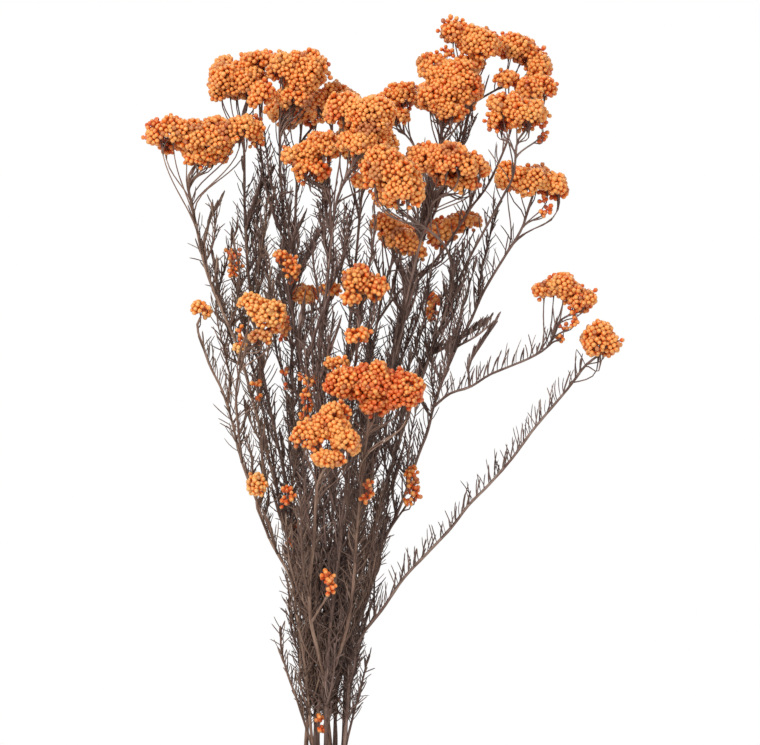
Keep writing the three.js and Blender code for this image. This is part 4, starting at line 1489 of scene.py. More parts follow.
@dataclass(frozen=True)
class LeafFinish:
    """Dry needle leaves: brown to grey olive, with a pale midrib and browner points."""

    name: str
    dark: Colour
    middle: Colour
    light: Colour
    point: Colour
    grain_stretch: Triple = (5.0, 5.0, 0.8)
    midrib: Pair = (0.16, 0.02)
    point_reach: Pair = (0.72, 1.0)
    roughness: Pair = (0.55, 0.78)
    relief: float = 0.0002
    shine: float = 0.35

    def material(self) -> Material:
        """Builds the material.

        Returns:
            The material.
        """
        made = Recipe(self.name)
        tone, along, _ = made.shares()
        place = made.own_place()
        grain = made.noise(made.stretched(place, self.grain_stretch), 1.0, 3)
        value = made.sum_of(tone, made.spread(grain, CLOUDY, (-0.18, 0.18)))
        colour = made.ramp(value, ((0.0, self.dark), (0.5, self.middle), (1.0, self.light)))
        across = made.node("ShaderNodeSeparateXYZ", {0: place}).outputs[0]
        aside = made.node("ShaderNodeMath", {0: across}, operation="ABSOLUTE").outputs[0]
        middle = made.spread(aside, self.midrib, (0.0, 0.4))
        colour = made.blend(middle, colour, self.light)
        colour = made.blend(made.spread(along, self.point_reach, (0.0, 0.55)), colour, self.point)
        roughness = made.spread(grain, CLOUDY, self.roughness)
        relief = made.sum_of(grain, middle, 0.8)
        return made.finish(colour, roughness, relief, self.relief, Specular_IOR_Level=self.shine)


@dataclass(frozen=True)
class StonewareFinish:
    """Matte glazed stoneware: warm off-white with brown specks, throwing rings and a bare foot."""

    name: str = "stoneware"
    glaze: Colour = paint(216, 209, 196)
    thin_glaze: Colour = paint(190, 178, 158)
    speck: Colour = paint(122, 98, 76)
    clay: Colour = paint(168, 138, 108)
    bare_height: float = 0.006
    bare_fade: float = 0.0012
    rim_height: float = 0.2095
    rim_fade: float = 0.0025
    ring_turns: float = 520.0
    speck_size: Pair = (0.16, 0.08)
    roughness: Pair = (0.52, 0.66)
    relief: float = 0.0007
    shine: float = 0.42

    def material(self) -> Material:
        """Builds the material.

        Returns:
            The material.
        """
        made = Recipe(self.name)
        place = made.object_place()
        height = made.node("ShaderNodeSeparateXYZ", {0: place}).outputs[2]
        clouds = made.noise(place, 18.0, 4)
        colour = made.blend(made.spread(clouds, (0.35, 0.7), (0.0, 0.45)), self.glaze, self.thin_glaze)
        wobble = made.noise(place, 9.0, 2)
        rings = made.sum_of(made.product(height, self.ring_turns), wobble, 5.0)
        throwing = made.node("ShaderNodeMath", {0: rings}, operation="SINE").outputs[0]
        specks = made.spread(made.cells(place, 330.0), self.speck_size)
        sparse = made.spread(made.noise(place, 60.0, 2), (0.5, 0.58))
        colour = made.blend(made.product(made.product(specks, sparse), 0.8), colour, self.speck)
        rim = made.spread(height, (self.rim_height - self.rim_fade, self.rim_height), (0.0, 0.5))
        colour = made.blend(rim, colour, self.thin_glaze)
        edge = made.sum_of(height, wobble, -0.002)
        bare = made.spread(edge, (self.bare_height, self.bare_height - self.bare_fade))
        colour = made.blend(bare, colour, self.clay)
        grain = made.noise(place, 900.0, 3)
        roughness = made.sum_of(made.spread(clouds, CLOUDY, self.roughness), bare, 0.25)
        relief = made.sum_of(made.sum_of(made.product(throwing, 0.22), grain, 0.12), clouds, 0.5)
        return made.finish(colour, roughness, relief, self.relief, Specular_IOR_Level=self.shine)


BUD_FINISHES: dict[Dye, BudFinish] = {
    Dye.ORANGE: BudFinish(Dye.ORANGE.value, paint(222, 80, 6), paint(246, 118, 20), paint(255, 182, 98)),
    Dye.PALE: BudFinish(Dye.PALE.value, paint(234, 98, 10), paint(252, 138, 34), paint(255, 196, 114)),
    Dye.DEEP: BudFinish(Dye.DEEP.value, paint(216, 74, 6), paint(242, 110, 20), paint(255, 176, 94)),
}
BARK_FINISHES: dict[Bark, BarkFinish] = {
    Bark.BROWN: BarkFinish(Bark.BROWN.value, paint(70, 51, 45), paint(114, 89, 80), paint(162, 138, 125)),
    Bark.TAN: BarkFinish(Bark.TAN.value, paint(76, 55, 46), paint(124, 96, 82), paint(172, 144, 124)),
}
LEAF_FINISHES: dict[Bark, LeafFinish] = {
    Bark.BROWN: LeafFinish("brown_leaves", paint(66, 48, 43), paint(108, 84, 76), paint(156, 132, 121),
                           paint(112, 80, 64)),
    Bark.TAN: LeafFinish("tan_leaves", paint(76, 57, 49), paint(116, 90, 78), paint(160, 134, 116),
                         paint(124, 88, 66)),
}


class Finishes:
    """Every finish of the bunch, made once and shared by its pieces."""

    def __init__(self) -> None:
        """Makes the materials."""
        self.bark = {kind: finish.material() for kind, finish in BARK_FINISHES.items()}
        self.leaf = {kind: finish.material() for kind, finish in LEAF_FINISHES.items()}
        self.buds = {dye: finish.material() for dye, finish in BUD_FINISHES.items()}


# Sub-assemblies


def settle_on_row(
    piece: Piece, nodes: Sequence[str], finish: Material
) -> None:
    """Gives a piece its finish, its ride and the solids that it stands for.

    Args:
        piece: the finished piece.
        nodes: the solids that it replaces.
        finish: its material.
    """
    piece.data.materials.clear()
    piece.data.materials.append(finish)
    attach(piece, "root")
    if nodes:
        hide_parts(*nodes)
    LOG.info("%s: %d faces", piece.name, len(piece.data.polygons))


@dataclass
class StonewareVase:
    """The vase: a round-bellied bottle with a slim neck and a rounded lip."""

    sides: int = 64
    outside: tuple[Pair, ...] = (
        (38.6, 0.0), (40.2, 0.5), (42.0, 2.4), (46.8, 12.0), (53.0, 28.0), (57.6, 43.0), (60.0, 58.0),
        (60.8, 71.0), (60.0, 85.0), (56.4, 101.0), (50.0, 116.0), (42.2, 129.5), (34.0, 142.0),
        (28.2, 151.0), (24.5, 160.0), (21.8, 168.5), (20.5, 176.0), (19.9, 184.0), (20.1, 191.0),
        (21.3, 199.0), (22.8, 205.5), (23.4, 208.0), (23.1, 209.4), (22.0, 210.0),
    )
    inside: tuple[Pair, ...] = (
        (20.4, 209.8), (19.2, 208.6), (18.0, 204.0), (16.2, 194.0), (15.8, 186.0), (16.2, 176.0),
        (20.0, 160.0), (29.5, 142.0), (45.5, 116.0), (55.2, 85.0), (55.2, 58.0), (48.5, 28.0),
        (40.0, 9.0), (36.0, 6.4),
    )
    foot_ring: Pair = (33.5, 2.2)
    foot_slant: float = 0.95
    floor_share: float = 0.6
    ring_share: float = 0.7
    hollow_share: float = 0.5
    on_floor: float = 1e-6

    def build(self) -> Piece:
        """Raises the wall ring by ring from the foot, turns it in at the lip and goes down inside.

        Returns:
            The vase.
        """
        start_clean()
        profile = self.outside + self.inside
        radius, height = self.outside[0]
        bpy.ops.mesh.primitive_circle_add(
            vertices=self.sides, radius=radius * MM, fill_type="NGON", location=(0, 0, height * MM)
        )
        vase = bpy.context.object
        vase.name = vase.data.name = "stoneware_vase"
        with shaping(vase):
            bpy.ops.mesh.select_all(action="SELECT")
            for low, high in zip(profile, profile[1:]):
                raise_ring((high[1] - low[1]) * MM, high[0] / low[0], (0, 0, high[1] * MM))
            bpy.ops.mesh.inset(thickness=self.inside[-1][0] * self.floor_share * MM)
            bpy.ops.mesh.poke()
            select_points(vase, lambda place: place[2] < self.on_floor)
            bpy.ops.mesh.inset(thickness=(self.outside[0][0] - self.foot_ring[0]) * self.ring_share * MM)
            hollow = (0, 0, self.foot_ring[1] * MM)
            bpy.ops.mesh.extrude_region_move(TRANSFORM_OT_translate={"value": hollow})
            slanted = (self.foot_slant, self.foot_slant, 1)
            bpy.ops.transform.resize(value=slanted, center_override=(0, 0, 0))
            bpy.ops.mesh.inset(thickness=self.foot_ring[0] * self.hollow_share * MM)
            bpy.ops.mesh.poke()
        smooth = vase.modifiers.new("smooth", "SUBSURF")
        smooth.levels = smooth.render_levels = 1
        bpy.context.view_layer.objects.active = vase
        bpy.ops.object.modifier_apply(modifier=smooth.name)
        vase.data.shade_smooth()
        return vase

    def dress(self, vase: Piece) -> None:
        """Glazes the vase."""
        settle_on_row(vase, ["vase"], StonewareFinish().material())


@dataclass
class Twig:
    """A thin length of wood that carries buds: a rib or a stalk."""

    line: Array
    radii: Pair
    sides: int
    rings: int


# How likely a lump is to be kept by how far up its lobe it faces, from -1 for down to 0 for level
LUMP_CHANCES = ((-1, -0.75, -0.35, 0), (0.05, 0.3, 0.85, 0.96))


@dataclass
class Lump:
    """A small round cluster of buds: its middle, its radius, where it faces, how light and dry it is."""

    middle: Array
    radius: float
    facing: Array
    tone: float
    dried: float


@dataclass
class FlowerHead:
    """One flower head: lumps of buds over each lobe, on ribs that fan out of the limb below."""

    head: Head
    carrier: Line
    seed: int
    bridged_from: float = 6.0
    bridge_nearest: float = 0.55
    bridge_farthest: float = 6.0
    bridge_size: float = 0.41
    unevenness: float = 0.35
    bud_width: float = 3.0
    bud_widths: Pair = (0.84, 1.12)
    bud_depths: Pair = (0.94, 1.06)
    bud_heights: Pair = (0.93, 1.14)
    bud_sunk: float = 0.56
    pitch: float = 2.85
    packing: float = 0.87
    lump_radius: Pair = (2.3, 4.3)
    lump_growth: Pair = (0.3, 0.9)
    lump_spacing: float = 1.68
    lump_depths: Pair = (0.74, 1.19)
    lump_sizes: Pair = (0.78, 1.15)
    lump_tones: float = 0.18
    lump_lift: float = 0.35
    lump_counts: tuple[int, int] = (2, 60)
    core_share: float = 0.97
    core_inset: float = 0.4
    least_core: float = 0.7
    overlap: float = 0.5
    squareness: float = 2.3
    stray_share: float = 0.12
    stray_reach: Pair = (0.9, 2.8)
    bumpiness: float = 0.07
    buried_share: float = 0.84
    lowest_bud: float = -0.35
    bud_chance: float = 0.96
    facing_share: float = 0.5
    facing_spread: float = 0.12
    tone_spread: float = 0.15
    # Painted light: buds that face out of their lump are made lighter, those facing inwards darker
    painted_light_outward: float = 0.06
    # Painted shade: the bud in the middle of each lump is coloured deeper and partly dried brown
    heart_painted_shade_tone: float = 0.2
    heart_painted_shade_dried: float = 0.3
    dried_share: float = 0.06
    dried_rarity: int = 18
    dried_lump: Pair = (0.5, 1.0)
    loose_below: float = 7.4
    loose_radius: float = 1.75
    loose_margin: float = 1.2
    loose_width: float = 0.92
    loose_deeper: float = 0.1
    loose_room: float = 30.0
    loose_counts: tuple[int, int] = (2, 12)
    loose_aside: float = 0.8
    loose_rise: float = 0.25
    loose_spread: Triple = (0.55, 0.55, 0.95)
    ease_passes: int = 8
    ease_pitch: float = 0.92
    ease_share: float = 0.3
    far_apart: float = 99.0
    rib_radius: float = 0.5
    rib_falls: Pair = (1.2, 2.1)
    rib_extras: Pair = (3.0, 14.0)
    rib_share: float = 0.6
    longest_rib_start: float = 72.0
    forks_at_most: int = 4
    lumps_per_fork: float = 4.5
    stalk_radius: float = 0.22
    shortest_stalk: float = 1.0
    stalk_below: float = 0.3
    pattern_shift: float = 40.0

    def __post_init__(self) -> None:
        """Sets the random numbers and finds where lumps, buds and ribs go."""
        self.random = np.random.default_rng(self.seed)
        self.lobes = self._bridged(self.head.settled_lobes())
        self.lumps: list[list[Lump]] = [self._lumps_of(number) for number in range(len(self.lobes))]
        self.twigs: list[Twig] = []
        self._set_buds()
        self._relax()
        self._grow_ribs()

    def _bridged(self, lobes: list[Lobe]) -> list[Lobe]:
        """The lobes with a smaller one between large neighbours, so that they read as one head.

        Args:
            lobes: the head's own lobes.

        Returns:
            Those lobes, and after them the ones between.
        """
        out = list(lobes)
        for one, other in zip(lobes, lobes[1:]):
            apart = other.centre - one.centre
            distance = float(length_of(apart))
            reach = reach_towards(one.half, apart / distance) + reach_towards(other.half, apart / distance)
            large = min(one.half.min(), other.half.min()) > self.bridged_from
            if large and self.bridge_nearest * reach < distance < reach + self.bridge_farthest:
                middle = (one.centre + other.centre) / 2
                out.append(Lobe(middle, (one.half + other.half) * self.bridge_size))
        return out

    def _around(self, count: int) -> Array:
        """Directions spread evenly over a ball and a little disturbed.

        Args:
            count: how many there are.

        Returns:
            The directions, each one long.
        """
        number = np.arange(count) + 0.5
        up = 1 - 2 * number / count
        turn = GOLDEN_ANGLE * number + self.random.uniform(0, 2 * math.pi)
        flat = np.sqrt(np.maximum(1 - up * up, 0))
        made = np.stack([flat * np.cos(turn), flat * np.sin(turn), up], 1)
        return unit(made + self.random.normal(0, self.unevenness / math.sqrt(count), made.shape))

    def _lumps_of(self, number: int) -> list[Lump]:
        """The lumps that cover one lobe, fewer of them on its underside.

        Args:
            number: the lobe's number.

        Returns:
            Its lumps.
        """
        lobe = self.lobes[number]
        if lobe.half[:2].mean() < self.loose_below:
            return self._loose_lumps(lobe)
        share, extra = self.lump_growth
        radius = float(np.clip(share * lobe.half.min() + extra, *self.lump_radius))
        inset = self.bud_width * self.core_inset
        core = np.maximum(lobe.half * self.core_share - radius - inset, self.least_core)
        wide, deep, tall = core
        area = 4 * math.pi * (wide * deep + wide * tall + deep * tall) / 3
        spacing = radius * self.lump_spacing
        count = int(np.clip(round(area / (spacing * spacing * self.packing)), *self.lump_counts))
        turns = self._around(count)
        power = self.squareness
        squared = turns / (np.abs(turns) ** power).sum(1, keepdims=True) ** (1 / power)
        middles = lobe.centre + squared * core * self.random.uniform(*self.lump_depths, (count, 1))
        chance = np.interp(turns[:, 2], *LUMP_CHANCES)
        kept = (self.random.random(count) < chance) & self._outside_others(number, middles)
        kept |= turns[:, 2] == turns[:, 2].max()
        return [self._lump(middle, radius, turn) for middle, turn in zip(middles[kept], turns[kept])]

    def _loose_lumps(self, lobe: Lobe) -> list[Lump]:
        """A few buds here and there, strung upwards: a head that has hardly opened.

        Args:
            lobe: the small lobe that they fill.

        Returns:
            Its lumps.
        """
        wide, deep, tall = lobe.half
        count = int(np.clip(round(wide * deep * tall / self.loose_room), *self.loose_counts))
        height = np.linspace(-1, 1, count) + self.random.uniform(-self.loose_rise, self.loose_rise, count)
        aside = self.random.uniform(-self.loose_aside, self.loose_aside, (2, count))
        turns = np.stack([*aside, height], 1)
        middles = lobe.centre + turns * lobe.half * self.loose_spread
        made = [self._lump(middle, self.loose_radius, turn) for middle, turn in zip(middles, turns)]
        for lump in made:
            lump.tone -= self.loose_deeper
        return made

    def _lump(self, middle: Array, radius: float, turn: Array) -> Lump:
        """A lump, a little larger or smaller, lighter or darker than the others.

        Args:
            middle: where it is.
            radius: its usual radius.
            turn: the direction from its lobe's middle.

        Returns:
            The lump.
        """
        facing = unit(turn + (0, 0, self.lump_lift))
        size = radius * self.random.uniform(*self.lump_sizes)
        tone = self.random.normal(0, self.lump_tones)
        return Lump(middle, size, facing, tone, float(self.random.random() < self.dried_share))

    def _outside_others(self, number: int, spots: Array) -> Array:
        """Whether each spot is clear of every lobe before this one.

        Args:
            number: this lobe's number.
            spots: the spots.

        Returns:
            True for each spot that is clear.
        """
        free = np.ones(len(spots), bool)
        for lobe in self.lobes[:number]:
            free &= length_of((spots - lobe.centre) / lobe.half) > self.overlap
        return free

    def _set_buds(self) -> None:
        """Sets buds over every lump, apart from those that would be inside a neighbour."""
        lumps = [lump for group in self.lumps for lump in group]
        middles = np.array([lump.middle for lump in lumps])
        radii = np.array([lump.radius for lump in lumps])
        spots, axes, tones, dried, widths = [], [], [], [], []
        deeper = DEEPER.get(self.head.name, 0.0)
        for number, lump in enumerate(lumps):
            count = max(3, round(4 * math.pi * lump.radius**2 / (self.pitch**2 * self.packing)))
            turns = self._around(count)
            outward = turns @ lump.facing
            stray = self.random.random(count) < self.stray_share
            reach = lump.radius * (1 + self.random.normal(0, self.bumpiness, count))
            reach += stray * self.random.uniform(*self.stray_reach)
            where = lump.middle + turns * reach[:, None]
            inside = length_of(where[:, None] - middles) < radii * self.buried_share
            inside[:, number] = False
            kept = (outward > self.lowest_bud) & ~inside.any(1)
            kept &= self.random.random(count) < self.bud_chance
            left = int(kept.sum())
            # Each lump's middle also gets a bud, deeper and browner as painted shade inside the lump
            spots += [where[kept], lump.middle[None]]
            disturbed = self.random.normal(0, self.facing_spread, (left, 3))
            axes += [unit(turns[kept] + lump.facing * self.facing_share + disturbed), lump.facing[None]]
            tone = 0.5 + lump.tone - deeper + self.random.normal(0, self.tone_spread, left)
            # Painted light and shade: a bud's tone rises as it faces out of its lump
            tones += [tone + self.painted_light_outward * outward[kept], np.array([self.heart_painted_shade_tone])]
            share = self.random.random(left) ** self.dried_rarity
            share = np.maximum(share, lump.dried * self.random.uniform(*self.dried_lump))
            dried += [share, np.array([self.heart_painted_shade_dried])]
            is_loose = lump.radius < self.loose_radius * self.loose_margin
            widths.append(np.full(left + 1, self.bud_width * (self.loose_width if is_loose else 1.0)))
        kinds = spots, axes, tones, dried, widths
        self.where, self.facing, self.tone, self.dried, self.width = map(np.concatenate, kinds)

    def _relax(self) -> None:
        """Pushes buds apart that would sit in each other."""
        for _ in range(self.ease_passes):
            apart = self.where[:, None] - self.where[None]
            distance = length_of(apart) + np.eye(len(self.where)) * self.far_apart
            short = np.maximum(self.pitch * self.ease_pitch - distance, 0)
            self.where += (apart / distance[..., None] * short[..., None] * self.ease_share).sum(1)

    def _grow_ribs(self) -> None:
        """Grows the ribs: from the limb below, forking under each lobe, to the middle of each lump."""
        for lobe, lumps in zip(self.lobes, self.lumps):
            forks = max(1, min(self.forks_at_most, round(len(lumps) / self.lumps_per_fork)))
            order = sorted(
                (lump.middle for lump in lumps),
                key=lambda spot: math.atan2(spot[1] - lobe.centre[1], spot[0] - lobe.centre[0]),
            )
            for fork in range(forks):
                group = order[fork * len(order) // forks : (fork + 1) * len(order) // forks]
                if group:
                    aside = float(length_of((np.mean(group, 0) - self.carrier.points[-1])[:2]))
                    back = aside * self.random.uniform(*self.rib_falls)
                    back += self.random.uniform(*self.rib_extras)
                    back = min(back, self.longest_rib_start, self.carrier.total * self.rib_share)
                    self._grow_rib(self.carrier.total - back, lobe, group)
        self._grow_stalks()

    def _grow_rib(self, start_at: float, lobe: Lobe, group: list[Array]) -> None:
        """Grows one rib and its fingers.

        Args:
            start_at: the length along the limb at which it starts.
            lobe: the lobe that it feeds.
            group: the middles of the lumps that it ends in.
        """
        start, along = self.carrier.at(start_at), self.carrier.direction_at(start_at)
        middle = np.mean(group, 0)
        under = middle - (0, 0, lobe.half[2] * self.random.uniform(0.7, 1.3) + 1.5)
        under[:2] += (lobe.centre[:2] - under[:2]) * 0.3
        span = float(length_of(under - start))
        arriving = unit(unit(middle - start) + (0, 0, 0.6) + self.random.normal(0, 0.08, 3)) * span * 0.35
        aside = self.random.normal(0, 0.2, 3)
        line = bowed_line(start, (along + aside) * span * 0.4, under, arriving)
        rings = int(np.clip(span / 5, 4, 12))
        self.twigs.append(Twig(line, (self.rib_radius, self.rib_radius * 0.75), 6, rings))
        for spot in group:
            reach = float(length_of(spot - under))
            outward = unit(spot - lobe.centre) * reach * 0.3
            line = bowed_line(under, unit(arriving) * reach * 0.4, spot, outward, 6)
            self.twigs.append(Twig(line, (self.rib_radius * 0.7, self.rib_radius * 0.45), 5, 4))

    def _grow_stalks(self) -> None:
        """Grows a short stalk to each bud that is seen from the side or from below."""
        middles = np.array([lump.middle for group in self.lumps for lump in group])
        for spot, axis in zip(self.where, self.facing):
            nearest = middles[int(length_of(middles - spot).argmin())]
            foot = spot - axis * self.bud_width * 0.5
            reach = float(length_of(foot - nearest))
            if axis[2] < self.stalk_below and reach > self.shortest_stalk:
                line = bowed_line(nearest, unit(foot - nearest) * reach * 0.4, foot, axis * reach * 0.35, 4)
                self.twigs.append(Twig(line, (self.stalk_radius, self.stalk_radius * 0.85), 3, 2))

    def build(self, workshop: Workshop) -> Piece:
        """Lays the buds of the head as one piece.

        Args:
            workshop: has the bud's pattern.

        Returns:
            The piece.
        """
        count = len(self.where)
        widths = self.width * self.random.uniform(*self.bud_widths, count)
        depths = widths * self.random.uniform(*self.bud_depths, count)
        heights = widths * self.random.uniform(*self.bud_heights, count)
        frames = frames_along(self.facing, self.random.normal(size=(count, 3)))
        feet = self.where - frames[:, 2] * (heights * self.bud_sunk)[:, None]
        vertices = laid_on(workshop.bud, feet, frames, np.stack([widths, depths, heights], 1))
        local = workshop.bud.vertices[None]
        places = local + self.random.uniform(-self.pattern_shift, self.pattern_shift, (count, 1, 3))
        shares = np.empty(vertices.shape)
        shares[..., 0] = self.tone[:, None]
        shares[..., 1] = local[..., 2]
        shares[..., 2] = self.dried[:, None]
        copies = Copies()
        copies.add(workshop.bud, vertices, places, shares)
        return copies.made_into(self.head.name.replace("head_", "buds_"))


@dataclass(frozen=True)
class LeafHabit:
    """How leaves sit on wood: apart, long, wide, steep, spread out and curled in between two limits."""

    step: float
    length: Pair
    width: float
    steep: Pair
    spread: Pair
    curl: Pair


class Foliage(Enum):
    """Where leaves grow: along a limb, along a side shoot, or packed round a young shoot."""

    LIMB = LeafHabit(1.45, (8.5, 16.0), 0.86, (0.35, 1.05), (0.7, 1.15), (-0.2, 0.5))
    SHOOT = LeafHabit(1.2, (7.5, 12.5), 0.83, (0.45, 1.15), (0.6, 1.1), (-0.18, 0.48))
    BRUSH = LeafHabit(0.75, (6.5, 10.0), 1.0, (1.7, 2.6), (0.4, 0.65), (0.15, 0.4))


@dataclass(frozen=True)
class Shoot:
    """A leafy side shoot with its foliage and its line above the vase's mouth."""

    line: tuple[Triple, ...]
    foliage: Foliage = Foliage.SHOOT


# Leafy side shoots that stand out in the photograph, by the spray that carries them
SHOOTS: dict[str, tuple[Shoot, ...]] = {
    "a": (
        Shoot(((-66, 2, 262), (-60, 2, 290), (-52, -2, 316))),
        Shoot(((-60, 0, 238), (-54, -4, 262), (-50, -8, 282))),
        Shoot(((-73, 4, 300), (-69, 2, 318), (-62, 0, 330)), Foliage.BRUSH),
        Shoot(((-42, -8, 270), (-38, -10, 300), (-34, -8, 330))),
        Shoot(((-44, -4, 262), (-46, -10, 285), (-47, -12, 307)), Foliage.BRUSH),
    ),
    "b": (
        Shoot(((-56, -20, 220), (-60, -22, 240), (-64, -20, 256))),
        Shoot(((-33, -26, 150), (-36, -28, 170), (-38, -30, 188))),
        Shoot(((-36, -28, 160), (-37, -32, 176), (-36, -34, 190)), Foliage.BRUSH),
    ),
    "c": (
        Shoot(((-42, 20, 284), (-42, 16, 312), (-38, 12, 340))),
        Shoot(((-46, 6, 318), (-40, 4, 334), (-32, 2, 346)), Foliage.BRUSH),
        Shoot(((-44, 2, 290), (-36, 6, 312), (-30, 8, 334))),
    ),
    "d": (
        Shoot(((-16, 4, 284), (-10, 2, 298), (-3, 0, 309)), Foliage.BRUSH),
        Shoot(((4, 6, 270), (12, 8, 300), (18, 6, 330))),
        Shoot(((-22, 4, 298), (-18, 2, 308), (-13, 0, 318)), Foliage.BRUSH),
        Shoot(((-30, 0, 262), (-35, 2, 290), (-40, 2, 314))),
    ),
    "m": (
        Shoot(((22, -30, 268), (28, -34, 296), (30, -36, 322))),
        Shoot(((-10, -48, 226), (-6, -50, 246), (2, -50, 268)), Foliage.BRUSH),
        Shoot(((-4, -46, 212), (2, -46, 234), (9, -46, 254)), Foliage.BRUSH),
        Shoot(((6, -44, 206), (2, -48, 236), (6, -48, 262))),
        Shoot(((2, -46, 190), (-8, -50, 214), (-12, -50, 244))),
    ),
    "o": (
        Shoot(((42, -8, 236), (48, -14, 258), (54, -18, 278)), Foliage.BRUSH),
        Shoot(((36, -4, 212), (41, -8, 234), (43, -12, 254)), Foliage.BRUSH),
        Shoot(((44, 4, 250), (52, 2, 278), (56, 0, 304))),
        Shoot(((48, 2, 226), (58, 0, 252), (62, -2, 276))),
    ),
    "e": (Shoot(((-12, -32, 226), (-15, -34, 250), (-12, -34, 270)), Foliage.BRUSH),),
    "h": (
        Shoot(((70, 6, 240), (84, 2, 248), (97, -2, 256)), Foliage.BRUSH),
        Shoot(((72, 8, 268), (80, 6, 292), (90, 4, 312))),
    ),
    "g": (
        Shoot(((86, -14, 230), (94, -18, 244), (103, -20, 257)), Foliage.BRUSH),
        Shoot(((40, -6, 176), (46, -10, 196), (50, -12, 214))),
        Shoot(((32, -4, 118), (36, -8, 136), (38, -8, 152))),
        Shoot(((62, 2, 236), (60, -2, 264), (64, -4, 290))),
        Shoot(((64, 6, 222), (66, 4, 250), (72, 2, 278))),
    ),
}


def posies_of(spray_name: str) -> list[Lobe]:
    """The lobes of a spray's small bud groups."""
    return [lobe_of(lobe) for lobe in POSIES.get(spray_name, ())]


@dataclass
class WoodySpray:
    """One cut stem: its wood with arms, side shoots and ribs, and its needle leaves."""

    spray: Spray
    limbs: list[Limb]
    lobes: list[Lobe]
    showing: list[Lobe]
    seed: int
    hiding_share: float = 0.22
    hiding_reach: float = 1.15
    lowest_leaf: float = VASE_HEIGHT + 14
    bare_below_head: float = 28.0
    thinning: float = 46.0
    thinned_share: float = 0.25
    leaf_chance: float = 0.97
    leaf_unevenness: float = 0.35
    leaf_tones: Pair = (0.45, 0.26)
    leaning_from: Pair = (0.2, 0.4)
    shoots_apart: float = 15.0
    shoot_length: Pair = (26.0, 70.0)
    shoot_ends: tuple[Pair, int, int] = ((0.7, 0.4), 5, 8)
    stalk_ends: tuple[Pair, int, int] = ((0.6, 0.4), 5, 8)
    shootless_start: float = 12.0
    shootless_end: float = 62.0
    shoot_clearance: float = 1.12
    brush_length: Pair = (16.0, 30.0)
    brush_share: float = 0.25
    slimness: float = 0.63
    ring_step: float = 5.0
    least_led: float = 4.0
    shoot_foot_drop: float = 10.0
    stalk_foot_drop: float = 14.0

    def __post_init__(self) -> None:
        """Sets the random numbers and the lines of the limbs."""
        self.random = np.random.default_rng(self.seed)
        self.lines = [self._led_to_head(limb) for limb in self.limbs]
        self.wood = Copies()
        self.leaves = Copies()
        self.heads: list[FlowerHead] = []
        for number, (limb, line) in enumerate(zip(self.limbs, self.lines)):
            if limb.head:
                self.heads.append(FlowerHead(limb.head, line, self.seed * 31 + number))
        self.stalks = [self._stalk_to(lobe) for lobe in posies_of(self.spray.name)]
        for number, (lobe, stalk) in enumerate(zip(posies_of(self.spray.name), self.stalks), 1):
            head = Head(f"head_{self.spray.name}_posy_{number}", [lobe])
            self.heads.append(FlowerHead(head, stalk, self.seed * 37 + number))

    def build(self, workshop: Workshop) -> tuple[Piece, Piece, list[Piece]]:
        """Builds the wood, the leaves and the heads.

        Args:
            workshop: has the patterns.

        Returns:
            The wood, the leaves and the heads' buds.
        """
        for limb, line in zip(self.limbs, self.lines):
            self._lay_limb(workshop, limb, line)
            if limb.name not in BARE_LIMBS:
                bare = BARE_BELOW.get(f"{self.spray.name} {limb.name}", self.bare_below_head)
                self._lay_leaves(workshop, line, Foliage.LIMB if limb.head else Foliage.SHOOT, bare)
            if limb.head:
                self._lay_side_shoots(workshop, limb, line)
        for shoot in SHOOTS.get(self.spray.name, ()):
            self._lay_shoot(workshop, self._grown_from_limb(shoot), shoot.foliage)
        for stalk in self.stalks:
            tone = self.random.uniform(0.3, 0.5)
            workshop.lay_rod(self.wood, stalk.points, *self.stalk_ends, tone, 0.5)
        for head in self.heads:
            for twig in head.twigs:
                tone = self.random.uniform(0.35, 0.65)
                workshop.lay_rod(self.wood, twig.line, twig.radii, twig.sides, twig.rings, tone)
        wood = self.wood.made_into(f"wood_{self.spray.name}")
        leaves = self.leaves.made_into(f"leaves_{self.spray.name}")
        return wood, leaves, [head.build(workshop) for head in self.heads]

    def dress(self, wood: Piece, leaves: Piece, buds: list[Piece], finishes: Finishes) -> None:
        """Gives every piece of the spray its finish.

        Args:
            wood: the wood.
            leaves: the leaves.
            buds: the buds of each head, in order.
            finishes: the materials.
        """
        bark, dye = self.spray.bark, self.spray.dye
        node = f"stem_{self.spray.name}"
        settle_on_row(wood, [node], finishes.bark[bark])
        settle_on_row(leaves, [node], finishes.leaf[bark])
        for head, piece in zip(self.heads, buds):
            known = head.head.name in frame["nodes"]
            settle_on_row(piece, [head.head.name] if known else [], finishes.buds[dye])

    def _led_to_head(self, limb: Limb) -> Line:
        """A limb's line, led on to the underside of the nearest lobe of its head.

        Args:
            limb: the limb.

        Returns:
            Its line.
        """
        line = line_of(limb)
        if not limb.head:
            return line
        end = line.points[-1]
        lobe = min(limb.head.settled_lobes(), key=lambda each: float(length_of(each.centre - end)))
        under = lobe.centre - (0, 0, lobe.half[2] * 0.6)
        reach = float(length_of(under - end))
        if reach < self.least_led:
            return line
        leaving = line.direction_at(line.total) * reach * 0.4
        onward = bowed_line(end, leaving, under, unit(under - end) * reach * 0.3, 6)
        return Line(np.vstack([line.points, onward[1:]]))

    def _lay_limb(self, workshop: Workshop, limb: Limb, line: Line) -> None:
        """Lays a main stem or an arm.

        Args:
            workshop: has the patterns.
            limb: the stem or arm.
            line: its line.
        """
        rings = int(np.clip(round(line.total / self.ring_step / 8) * 8, 8, 128))
        tones, sides, flare = ((0.45, 0.62), 10, 0.0) if limb.is_main else ((0.38, 0.55), 8, 0.35)
        radii = (limb.radius[0] * self.slimness, limb.radius[1] * self.slimness)
        tone = self.random.uniform(*tones)
        workshop.lay_rod(self.wood, line.points, radii, sides, rings, tone, flare)

